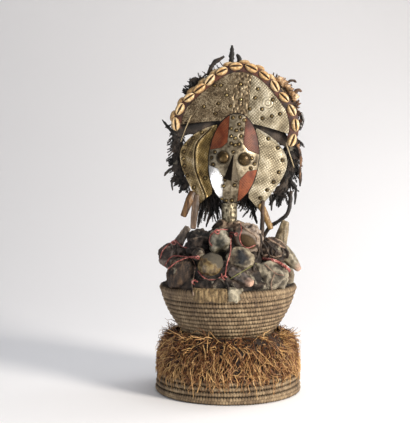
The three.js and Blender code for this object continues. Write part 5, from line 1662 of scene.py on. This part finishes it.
def make_thongs(trees, name, thongs, material):
    pieces = []
    for half, route in thongs:
        line = laid_on(trees, route, THONG_FLAT * half * MM)
        line = line[::3] + [line[-1]]
        pieces.append(bar(name, line, lambda t, h=half: h * MM, sides=7, flat=THONG_FLAT, wobble=0.5))
    finished(joined(name, pieces), material, "crusted_leather", sharp=0)


def make_cords(look):
    trees = covering()
    # Strips of raw hide, dried hard: matt, cracked, paler on their ridges
    make_thongs(trees, "dark_hide_thongs", DARK_THONGS, surface(
        "dry dark thong", shades("#120D0A #2C221B #5A4C40"),
        9, 1.4, (0.6, 0.85), relief=0.6))
    make_thongs(trees, "pale_hide_thongs", PALE_THONGS, surface(
        "dry pale thong", shades("#4A3A2E #8A7462 #B8A48E"),
        9, 1.4, (0.6, 0.85), relief=0.6))
    tree = cord_tree()

    def twisted(name, lines, radius, twist, material, *nodes):
        guide = line_mesh(name, lines)
        cord = grown(guide, tree, Cord_radius=radius, Twist_length=twist, Material=material)
        finished(cord, material, "red_cord", *nodes, sharp=0)

    # Dyed cotton: matt and a little fuzzy, faded where the strands stand out
    red = surface("madder dyed cotton cord", shades("#5A2620 #A4524A #D49A90"),
                  5, 1.0, (0.7, 0.9), relief=0.4, sheen=0.2)
    for node, routes in CORD_ROUTES.items():
        lines = [laid_on(trees, route, look.radius) for route in routes]
        lines += [knot(trees, x, z, size * MM) for x, z, size in KNOTS[node]]
        twisted(node + "_twist", lines, look.radius, look.twist, red, node)
    twisted("cord_right_thick_twist", [laid_on(trees, THICK_CORD, look.thick)], look.thick,
            2.4 * look.twist, red, "cord_right_thick")
    # Plant fibre gone grey: dull and dry
    pale = surface("greyed fibre thread", shades("#5E4A3E #A07A68 #B8A28C"),
                   12, 1.0, (0.7, 0.9), relief=0.4)
    half = 0.8 * MM
    threads = [laid_on(trees, route, half) for route in PALE_THREADS]
    twisted("pale_threads", threads, half, look.twist, pale)
    # Straw that is still green: smooth and a little waxy
    grass = surface("dry green straw", shades("#5A5A30 #8A8A50 #A8A46A"), 20, 2, (0.5, 0.7), relief=0.2)
    straw = laid_on(trees, GREEN_STRAW, 1.2 * MM)
    finished(bar("green_straw", straw[::3] + [straw[-1]], lambda t: 0.7 * MM, sides=5), grass, "straw")


# Feathers and what hangs at the sides

def behind(x, z, depth):
    """Place on the head: hundredths of its height across and up, and millimetres behind its back."""
    return Vector((x * PART, BACK_Y + depth * MM, z * PART))


def spine_point(spine, t):
    route = catmull(spine, 8)
    at = t * (len(route) - 1)
    low = min(int(at), len(route) - 2)
    return Vector(route[low]).lerp(Vector(route[low + 1]), at - low)


# Bunches: the line they grow from, the way the first and the last feather go, how many there are,
# their size, how wide their barbs are, and how far they stray
BUNCHES = {
    "feathers_left": ([(-43, 55, 3), (-42, 46, 7), (-41, 32, 13), (-38.5, 18, 13), (-32, 8, 9)],
                      (-3, -9), (-3, -7), 150, 0.85, 4.2, 0.5),
    "feathers_under_left": ([(-19, 7, 4), (-13, 7, 4), (-7, 4, 4)], (-3, -24), (1, -17), 60, 1.0, 4.6, 0.2),
    "feathers_under_right": ([(7, 3, 4), (13, 7, 4), (19, 5, 4)], (0, -7), (2, -15), 50, 1.0, 4.4, 0.25),
    "feathers_right": ([(40, 55, 3), (40.5, 45, 7), (42, 32, 13), (40, 20, 13), (34, 9, 9)],
                       (5, -11), (-1.5, -12), 130, 1.0, 4.6, 0.4),
    "feathers_top": ([(-26, 86, 2), (-16, 92, 2), (-6, 93, 2)], (2, 9), (-2, 12), 14, 1.0, 1.8, 0.5),
    "feathers_upper_left": ([(-36, 77, 2), (-33, 81, 2), (-29, 86, 2)],
                            (-5, 4), (-4, 6), 46, 0.9, 3.2, 0.6),
    "feather_tuft_right": ([(22, 90, 2), (32, 84, 2), (39, 74, 2), (41.2, 63, 3)],
                           (4, 5), (3.4, -1), 140, 1.0, 3.6, 0.5),
}
SINGLES = {
    "feathers_left": [
        [(-43, 45, 4), (-49, 50, 4), (-54, 55, 4)], [(-44, 21, 12), (-47, 18, 12), (-49, 15, 11)],
        [(-39, 16, 12), (-43, 12, 12), (-42, 5, 11)],
    ],
    "feathers_under_left": [
        [(-17, 3, 4), (-20, -10, 4), (-21, -20, 3)], [(-10, 1, 4), (-13, -9, 3), (-15, -19, 3)],
        [(-8, 2, 4), (-8, -7, 4), (-7, -14, 4)],
    ],
    "feathers_under_right": [
        [(15, 3, 4), (18, -5, 4), (21.5, -13, 3)], [(27, 13, 9), (30, 5, 9), (31, -2.5, 8)],
        [(30, 12, 9), (34, 8, 9), (34.5, 1, 9)],
    ],
    "feathers_right": [
        [(44, 31, 12), (49, 26, 12), (50, 17, 11)], [(42, 42, 8), (47, 39, 8), (49, 34, 8)],
        [(43, 20, 12), (47, 15, 12), (47.5, 3.4, 12)], [(42, 12, 12), (44, 6, 12), (43.6, -0.6, 11)],
    ],
    "feathers_top": [
        [(-24.6, 90, 2), (-20.7, 99, 2), (-13.7, 104.5, 2)],
        [(-8.8, 98, 4), (-8.5, 105, 4), (-9, 113, 4)], [(-4, 100, 3), (-3, 104, 3), (-5, 107, 3)],
    ],
    "feathers_upper_left": [
        [(-28, 86, 2), (-34, 86, 2), (-37, 84, 1)], [(-36, 76, 2), (-39, 76, 2), (-41, 79, 2)],
    ],
    "feather_tuft_right": [
        [(30, 88, 2), (36, 92, 2), (39.5, 91, 2)], [(36, 80, 2), (41, 85, 2), (44, 85, 2)],
    ],
}
WEBS = {
    "feathers_left": [(-43.5, 47, 6), (-34, 50.5, -2), (-13, 56.5, -7), (-8, 57, -8)],
    "feathers_right": [(40.5, 47, 6), (32, 50, -2), (13, 56.5, -7), (8, 57, -8)],
}


# Shares of a feather's first and last way at four places of its shaft
SHAFT_BEND = [(0, 0), (0.35, 0), (0.5, 0.22), (0.6, 0.4)]


def feather_lines(name, rolls):
    """Shafts of a bunch in the head's frame, each a line of points with its barb length."""
    spine, first, last, count, size, barb, stray = BUNCHES[name]
    lines = []
    for i in range(count):
        t = (i + rolls.random()) / count
        start = behind(*spine_point(spine, t))
        start += Vector((rolls.uniform(-5, 5), rolls.uniform(-3, 5), 0)) * MM
        way = Vector((first[0] + (last[0] - first[0]) * t, 0, first[1] + (last[1] - first[1]) * t)) * PART
        way *= size * rolls.uniform(0.45, 1.12)
        turn = Matrix.Rotation(rolls.uniform(-stray, stray) * 2, 3, "Y")
        way = turn @ way + Vector((0, rolls.uniform(-0.25, 0.35) * way.length, 0))
        bend = Matrix.Rotation(rolls.uniform(-0.5, 0.5), 3, "Y") @ way
        route = [start + way * a + bend * b for a, b in SHAFT_BEND]
        lines.append((route, barb * MM * rolls.uniform(0.8, 1.25)))
    lines += [([behind(*p) for p in route], 0.75 * barb * MM) for route in SINGLES[name]]
    return [([Vector(p) for p in catmull(route, 4)], width) for route, width in lines]


def barb_spike():
    """One barb as a three-sided spike of length 1, thicker than a real one so that it shows."""
    r = 0.42 * MM
    base = [polar(r, a, 0) for a in (0, math.tau / 3, 2 * math.tau / 3)]
    middle = [(1.1 * x, 1.1 * y, 0.55) for x, y, _ in base]
    vertices = [*base, *middle, (0, 0, 1)]
    faces = [(2, 1, 0)]
    for j in range(3):
        k = (j + 1) % 3
        faces += [(j, k, 3 + k, 3 + j), (3 + j, 3 + k, 6)]
    return mesh_object("feather_barb", vertices, faces)


def blade(name, points, rolls, least=2.0):
    """Narrow vane of a long feather, with a ragged edge."""
    half = rolls.uniform(least, least + 1) * MM
    return bar(name, points, lambda t: half * (0.35 + 0.75 * math.sin(math.pi * (0.15 + 0.8 * t))),
               sides=6, flat=0.35, wobble=0.55)


def barbed(name, lines, material, look, splay, roll):
    barb = barb_spike()
    guide = line_mesh(name, [line for line, _ in lines], thick=[0.45 * MM] * len(lines),
                      barb=[width for _, width in lines])
    piece = grown(guide, barb_tree(), Barb=barb, Barb_spacing=look.spacing, Splay=splay, Roll=roll,
                  Seed=1, Material=material)
    bpy.data.objects.remove(barb)
    return piece


def hide_strip(name, points, half, flat=0.4, wobble=0.5):
    return bar(name, points, lambda t: half * (0.75 + 0.35 * math.sin(math.pi * min(1, t + 0.1))),
               sides=10, flat=flat, wobble=wobble)


def make_feathers(look):
    # Feather and fur: near black, with a silky gloss on the barbs
    black = surface("black feather and fur", shades("#0B0A09 #1A1613 #3A2C22"),
                    24, 2, (0.5, 0.75), relief=0.1, sheen=0.05)
    # Brown feather: warm, with bleached edges
    brown = surface("rust brown feather", shades("#1E1510 #5A3E2A #9A7450"),
                    16, 2, (0.45, 0.7), relief=0.1)
    # Dried hide: dark, matt and wrinkled, with a little crust
    skin = surface("dry dark hide", shades("#14100D #2E2620 #55493E"),
                   16, 1.8, (0.6, 0.85), relief=0.6, crust=(GREY_CRUST, 0.1))
    rolls = random.Random(5)
    for name in BUNCHES:
        material = brown if name == "feather_tuft_right" else black
        piece = barbed(name + "_barbs", feather_lines(name, rolls), material, look, 0.55, 0.5)
        finished(moved(piece, HEAD), material, "feather", name, sharp=0)
        spine = [behind(*p) for p in BUNCHES[name][0]]
        wide = 8.5 * MM if name in WEBS else 5 * MM
        strips = [hide_strip(name + "_hide", spine, wide, 0.35, 0.9)]
        if name in WEBS:
            strips.append(hide_strip(name + "_web", [behind(*p) for p in WEBS[name]], 9.5 * MM, 0.28, 0.35))
        for strip in strips:
            finished(moved(strip, HEAD), skin, "crusted_leather", sharp=0)
        least = 3.0 if name == "feathers_top" else 2.0
        blades = [blade(name + "_blade", [behind(*p) for p in r], rolls, least) for r in SINGLES[name]]
        finished(moved(joined(name + "_blades", blades), HEAD), material, "feather", sharp=0)

    shaft = [behind(*p) for p in [(45, 47, 2), (48, 38, 4), (49, 27, 6), (49.5, 20, 7)]]
    line = [Vector(p) for p in catmull(shaft, 6)]
    vane = barbed("feathers_right_brown", [(line, 6 * MM)] * 3, brown, look, 0.5, 0.4)
    quill = bar("feathers_right_quill", shaft, lambda t: 2.6 * MM * (1.1 - t),
                sides=6, flat=0.25, wobble=0.8)
    quill.data.materials.append(brown)
    finished(moved(joined("feathers_right_brown", [vane, quill]), HEAD), brown, "feather", sharp=0)
    # Curled leaf and feather: dry and thin, with bright golden edges
    gold = surface("curled golden leaf and feather", shades("#46321F #9C7850 #DCC09C"),
                   6, 1.6, (0.45, 0.7), relief=0.4)
    curls = []
    count = 22
    for i in range(count):
        t = (i + rolls.random()) / count
        start = behind(*spine_point(BUNCHES["feather_tuft_right"][0], t * 0.56)) + Vector((2, -4, 2)) * MM
        way = Vector((rolls.uniform(2.5, 7), 0, rolls.uniform(0, 6) * (1 - t))) * PART
        bent = Matrix.Rotation(rolls.uniform(-1.4, 1.4), 3, "Y") @ way
        middle = start + 0.5 * way
        route = [start, middle + Vector((0, rolls.uniform(-4, 2), 0)) * MM, middle + 0.45 * bent]
        half = rolls.uniform(2.6, 5.0) * MM

        def width(t, half=half):
            return half * (0.35 + math.sin(math.pi * min(0.95, t + 0.1))) * 0.75
        curls.append(bar("curl", route, width, sides=6, flat=0.22,
                         facing=(rolls.uniform(-0.8, 0.8), -1, 0), wobble=0.5))
    finished(moved(joined("feather_tuft_right_curls", curls), HEAD), gold, "feather", sharp=0)

    route = [corner("tail_right", x, 0.5, z) for x, z in ((1, 1), (0.86, 0.55), (0.25, 0.28), (0, 0))]
    line = [Vector(p) for p in catmull(route, 10)]
    fur = barbed("tail_right_fur", [(line, 5.5 * MM)] * 4, black, look, 0.75, math.pi)
    core = bar("tail_right_core", route, lambda t: 3.2 * MM, wobble=0.4)
    core.data.materials.append(black)
    finished(joined("tail_right_fur", [fur, core]), black, "feather", "tail_right", sharp=0)


HANGINGS = {
    # node: (slot, three tones, gloss)
    "pendant_left": ("horn", "#1E140A #54391F #8A6840", (0.35, 0.6)),
    "pendant_left_inner": ("horn", "#2A1F1A #64503F #9A8270", (0.4, 0.65)),
    "pendant_right": ("horn", "#2E2012 #765832 #BC9A62", (0.35, 0.6)),
    "stem_right": ("bark", "#16100C #3A2C22 #5E4A3A", (0.6, 0.85)),
    "claw_right": ("horn", "#0C0B0A #1C1A18 #3E3832", (0.14, 0.3)),
}


# The claw stands a little further out than its solid, which stays over the base
CLAW_SHIFT = 5 * MM


def fuller(p):
    """Gives back what smoothing takes, with fine ribs along the piece."""
    return 1.0 * MM + 0.5 * MM * noise.noise(Vector((p.x / (2 * MM), p.y / (2 * MM), p.z / (9 * MM))))


def make_hangings():
    for node, (slot, tones, gloss) in HANGINGS.items():
        piece = carved(node + "_form", [node], 0.8 * MM, 8, fuller)
        if node == "claw_right":
            moved(piece, Matrix.Translation((CLAW_SHIFT, 0, 0)))
        # Fibres or growth lines run along the piece, and handling has polished the claw most
        material = surface(node.replace("_", " ") + " " + slot, shades(tones), 9, 1.3,
                           gloss, relief=0.4, stretch=(1.0, 1.0, 0.25))
        finished(piece, material, slot, node, sharp=0)

    # Bare quill and peeled wood: pale and smooth, with a soft gloss
    pale = surface("bare quill and peeled stick", shades("#7A6A50 #B8A684 #D8CAA8"),
                   20, 2, (0.45, 0.65), relief=0.2, stretch=(1.0, 1.0, 0.2))
    sticks = {
        "quill_left": ([(-33, 60, -19), (-36, 51, -16), (-39, 40.5, -8)], 0.8),
        "stick_right": ([(36, 47, -12), (40, 38.5, -6), (44, 30, 2)], 1.1),
    }
    for name, (route, radius) in sticks.items():
        points = [behind(*p) for p in route]
        stick = bar(name, points, lambda t, r=radius: r * MM * (1 - 0.3 * t), sides=6, wobble=0.1)
        finished(moved(stick, HEAD), pale, "horn")


# Neck

def make_neck():
    """Punched brass sleeve of the neck."""
    low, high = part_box("neck_sheet")
    middle = (low + high) / 2
    radius = (high.x - low.x) / 2 - 0.4 * MM
    sides, rows = 72, 40
    vertices = []
    dark = []
    heights = []
    for j in range(rows + 1):
        z = low.z + (high.z - 2 * MM - low.z) * j / rows
        for i in range(sides):
            angle = i / sides * math.tau
            raised, line = mottled(angle * radius, z)
            r = radius + 0.6 * raised + hammered(angle * radius, z, 4, 4, 0.35, 3.0)
            vertices.append((middle.x + r * math.cos(angle), middle.y + r * math.sin(angle), z))
            dark.append(line)
            heights.append(raised)
    sleeve = mesh_object("neck_sheet_sleeve", vertices, tube_faces(rows, sides))
    point_values(sleeve.data, "coat", dark)
    point_values(sleeve.data, "tone", by_height(heights))
    with_modifier(sleeve, "SOLIDIFY", thickness=SHEET, offset=-1.0)
    material = brass_sheet("dull khaki brass", shades("#4A4234 #8A806A #B6AC92"))
    finished(sleeve, material, "brass_pale", "neck_sheet")


# Stage

def make_stage(look):
    # Painted floor: pale, even and matt, so that it only carries the shadow
    material = bpy.data.materials.new("pale matt floor")
    material.use_nodes = True
    shader = material.node_tree.nodes["Principled BSDF"]
    shader.inputs["Base Color"].default_value = look.floor[:]
    shader.inputs["Roughness"].default_value = 0.9
    # A floor that rises behind in a wide curve, so that no horizon shows
    reach, bend, wall = 3.0, 1.6, 3.4
    profile = [(-reach, 0.0), (0.6, 0.0)]
    profile += [(0.6 + bend * math.sin(a * math.pi / 16), bend - bend * math.cos(a * math.pi / 16))
                for a in range(1, 9)]
    profile += [(0.6 + bend, wall)]
    vertices = [(x, y, z) for y, z in profile for x in (-4.0, 4.0)]
    faces = [(2 * i, 2 * i + 1, 2 * i + 3, 2 * i + 2) for i in range(len(profile) - 1)]
    sweep = mesh_object("stage_floor", vertices, faces)
    sweep.data.materials.append(material)
    sweep.data.shade_smooth()

    world = bpy.data.worlds.new("soft studio")
    world.use_nodes = True
    sky = world.node_tree.nodes["Background"]
    sky.inputs["Color"].default_value = look.sky[:]
    sky.inputs["Strength"].default_value = look.sky_strength
    bpy.context.scene.world = world

    bpy.context.scene.view_settings.view_transform = "Standard"
    target = Vector((0, 0, 0.3))
    lamps = [
        ("key_light", Vector((1.65, -1.3, 0.85)), 0.55, look.key_power, linear("#FFF6EA")),
        ("low_light", Vector((-0.6, -0.46, 0.06)), 0.3, look.low_power, linear("#FFFFFF")),
        ("top_light", Vector((0.25, 0.1, 1.7)), 0.9, look.top_power, linear("#FFFFFF")),
        ("rim_light", Vector((1.5, 0.8, 0.9)), 0.8, look.rim_power, linear("#FFFFFF")),
    ]
    for name, at, size, power, colour in lamps:
        lamp = bpy.data.lights.new(name, "AREA")
        lamp.size = size
        lamp.energy = power
        lamp.color = colour[:3]
        holder = linked(name, lamp)
        holder.location = at
        holder.rotation_euler = (target - at).to_track_quat("-Z", "Y").to_euler()

    camera = bpy.data.cameras.new("camera")
    camera.sensor_width = 36.0
    camera.lens = look.lens
    holder = linked("camera", camera)
    holder.location = VIEWPOINT
    holder.rotation_euler = (math.radians(90 - VIEW_DOWN), 0.0, math.radians(VIEW_LEFT))
    bpy.context.scene.camera = holder


# Settings

def length(name, description, value):
    return bpy.props.FloatProperty(name=name, description=description, default=value * MM, min=0.0,
                                   unit="LENGTH", subtype="DISTANCE", precision=4)


def colour(name, description, code):
    return bpy.props.FloatVectorProperty(name=name, description=description, default=linear(code),
                                         size=4, min=0.0, max=1.0, subtype="COLOR")


def amount(name, description, value):
    return bpy.props.FloatProperty(name=name, description=description, default=value, min=0.0)


class BasketLook(bpy.types.PropertyGroup):
    coil: length("Coil", "Thickness of one coil of the baskets", 8)
    strip_pitch: length("Strip pitch", "From one turn of strip to the next", 4.6)
    slant: bpy.props.FloatProperty(name="Slant", description="How far the strips lean along the coil",
                                   default=0.4, subtype="ANGLE")
    shade: colour("Shade", "Dirty strip and the seams", "#48362A")
    strip: colour("Strip", "Most of the strips", "#806A4E")
    light: colour("Light", "Rubbed strips", "#B39C7A")


class FringeLook(bpy.types.PropertyGroup):
    density: amount("Density", "Straws on a square metre of the mat", 104000.0)
    length: length("Length", "Length of a middling straw", 22)
    radius: length("Radius", "Half the thickness of a straw at its root", 0.8)
    reach: length("Reach", "How far from the axis the straws may stand out", 115)
    dark: colour("Dark", "Straws deep in the mass", "#1E1008")
    straw: colour("Straw", "Most of the straws", "#80502A")
    light: colour("Light", "Straws that catch the light", "#E6BC7C")


class MetalLook(bpy.types.PropertyGroup):
    mesh: length("Mesh step", "How finely a sheet is modelled", 1.1)
    tack: length("Tack radius", "Half the width of a tack's head", 2.7)
    brown_dark: colour("Brown dark", "Brown brass in its hollows", "#3C2F22")
    brown: colour("Brown", "Brown brass", "#7E6D54")
    brown_light: colour("Brown light", "Brown brass where rubbed", "#C4B496")
    pale_dark: colour("Pale dark", "Pale brass in its hollows", "#5E5443")
    pale: colour("Pale", "Pale brass", "#A69B82")
    pale_light: colour("Pale light", "Pale brass where rubbed", "#E0D8C2")
    khaki: colour("Khaki", "Brass of the left lobe's outer side", "#937F58")
    gold_dark: colour("Gold dark", "Gold brass in its hollows", "#4E3C22")
    gold: colour("Gold", "Gold brass", "#A88C54")
    gold_light: colour("Gold light", "Gold brass where rubbed", "#E0C894")
    cross_dark: colour("Cross dark", "The cross in its hollows", "#4A4032")
    cross: colour("Cross", "Brass of the cross", "#887C66")
    cross_light: colour("Cross light", "The cross where rubbed", "#B6AB94")


class CowrieLook(bpy.types.PropertyGroup):
    cowrie_length: length("Length", "Length of a cowrie", 21.8)
    cowrie_width: length("Width", "Width of a cowrie", 14.6)
    cowrie_height: length("Height", "How far a cowrie stands up", 7)


class BundleLook(bpy.types.PropertyGroup):
    voxel: length("Detail", "How finely a packet is modelled", 1.5)
    mound_voxel: length("Mound detail", "How finely the mound is modelled", 2.2)
    smoothing: bpy.props.IntProperty(name="Smoothing", description="Rounds of smoothing of a packet",
                                     default=36, min=0)


class CordLook(bpy.types.PropertyGroup):
    radius: length("Radius", "Half the thickness of the thin cord", 1.05)
    thick: length("Thick radius", "Half the thickness of the thick cord", 2.7)
    twist: length("Twist", "Length of one turn of the thin cord's strands", 5)


class FeatherLook(bpy.types.PropertyGroup):
    spacing: length("Barb spacing", "From one barb to the next on a shaft", 0.9)


class StageLook(bpy.types.PropertyGroup):
    lens: bpy.props.FloatProperty(name="Lens", description="Focal length of the camera",
                                  default=80.85, subtype="DISTANCE_CAMERA")
    key_power: amount("Key light", "Power of the light from the right", 66.0)
    low_power: amount("Low light", "Power of the low light that the bright sheet mirrors", 1.2)
    top_power: amount("Top light", "Power of the light from above", 8.0)
    rim_power: amount("Rim light", "Power of the light from behind on the right", 10.0)
    sky_strength: amount("Sky", "Strength of the light from all round", 0.34)
    sky: colour("Sky colour", "Colour of the light from all round", "#E8EAF0")
    floor: colour("Floor", "Colour of the floor", "#F4F4F6")


class FigureLook(bpy.types.PropertyGroup):
    baskets: bpy.props.PointerProperty(type=BasketLook)
    fringe: bpy.props.PointerProperty(type=FringeLook)
    metal: bpy.props.PointerProperty(type=MetalLook)
    cowries: bpy.props.PointerProperty(type=CowrieLook)
    bundle: bpy.props.PointerProperty(type=BundleLook)
    cords: bpy.props.PointerProperty(type=CordLook)
    feathers: bpy.props.PointerProperty(type=FeatherLook)
    stage: bpy.props.PointerProperty(type=StageLook)


# Operators

class FIGURE_OT_stage(bpy.types.Operator):
    """Make the floor, the lights and the camera"""
    bl_idname = "figure.stage"
    bl_label = "Stage"

    def execute(self, context):
        make_stage(context.scene.figure_look.stage)
        return {"FINISHED"}


class FIGURE_OT_baskets(bpy.types.Operator):
    """Wind the coiled base and bowl"""
    bl_idname = "figure.baskets"
    bl_label = "Baskets"

    def execute(self, context):
        make_baskets(context.scene.figure_look.baskets)
        return {"FINISHED"}


class FIGURE_OT_fringe(bpy.types.Operator):
    """Grow the straw fringe"""
    bl_idname = "figure.fringe"
    bl_label = "Straw fringe"

    def execute(self, context):
        make_fringe(context.scene.figure_look.fringe)
        return {"FINISHED"}


class FIGURE_OT_head(bpy.types.Operator):
    """Carve the wooden figure and cover its head with metal"""
    bl_idname = "figure.head"
    bl_label = "Head"

    def execute(self, context):
        look = context.scene.figure_look.metal
        make_wood()
        make_crest_sheets(look)
        make_lobe_sheets(look)
        make_face_sheets(look)
        make_eyes_and_nose()
        make_tacks(look)
        make_neck()
        return {"FINISHED"}


class FIGURE_OT_cowries(bpy.types.Operator):
    """Sew the cowries on their band"""
    bl_idname = "figure.cowries"
    bl_label = "Cowries"

    def execute(self, context):
        make_cowries(context.scene.figure_look.cowries)
        return {"FINISHED"}


class FIGURE_OT_bundle(bpy.types.Operator):
    """Shape the packets, seeds and horns of the bundle"""
    bl_idname = "figure.bundle"
    bl_label = "Relic bundle"

    def execute(self, context):
        make_bundle(context.scene.figure_look.bundle)
        return {"FINISHED"}


class FIGURE_OT_cords(bpy.types.Operator):
    """Lay the cords over the bundle"""
    bl_idname = "figure.cords"
    bl_label = "Cords"

    def execute(self, context):
        make_cords(context.scene.figure_look.cords)
        return {"FINISHED"}


class FIGURE_OT_feathers(bpy.types.Operator):
    """Grow the feathers and hang what hangs at the sides"""
    bl_idname = "figure.feathers"
    bl_label = "Feathers"

    def execute(self, context):
        look = context.scene.figure_look.feathers
        make_feathers(look)
        make_hangings()
        return {"FINISHED"}


OPERATORS = [
    FIGURE_OT_stage, FIGURE_OT_baskets, FIGURE_OT_fringe, FIGURE_OT_head, FIGURE_OT_cowries,
    FIGURE_OT_bundle, FIGURE_OT_cords, FIGURE_OT_feathers,
]
LOOKS = [
    BasketLook, FringeLook, MetalLook, CowrieLook, BundleLook, CordLook, FeatherLook, StageLook, FigureLook,
]


class FIGURE_PT_panel(bpy.types.Panel):
    """Steps that build the figure"""
    bl_idname = "FIGURE_PT_panel"
    bl_label = "Figure"
    bl_space_type = "VIEW_3D"
    bl_region_type = "UI"
    bl_category = "Figure"

    def draw(self, context):
        for step in OPERATORS:
            self.layout.operator(step.bl_idname)


def register():
    for kind in [*LOOKS, *OPERATORS, FIGURE_PT_panel]:
        bpy.utils.register_class(kind)
    bpy.types.Scene.figure_look = bpy.props.PointerProperty(type=FigureLook)


def unregister():
    del bpy.types.Scene.figure_look
    for kind in reversed([*LOOKS, *OPERATORS, FIGURE_PT_panel]):
        bpy.utils.unregister_class(kind)


def main():
    register()
    for step in OPERATORS:
        group, name = step.bl_idname.split(".")
        getattr(getattr(bpy.ops, group), name)()


if __name__ == "__main__":
    main()
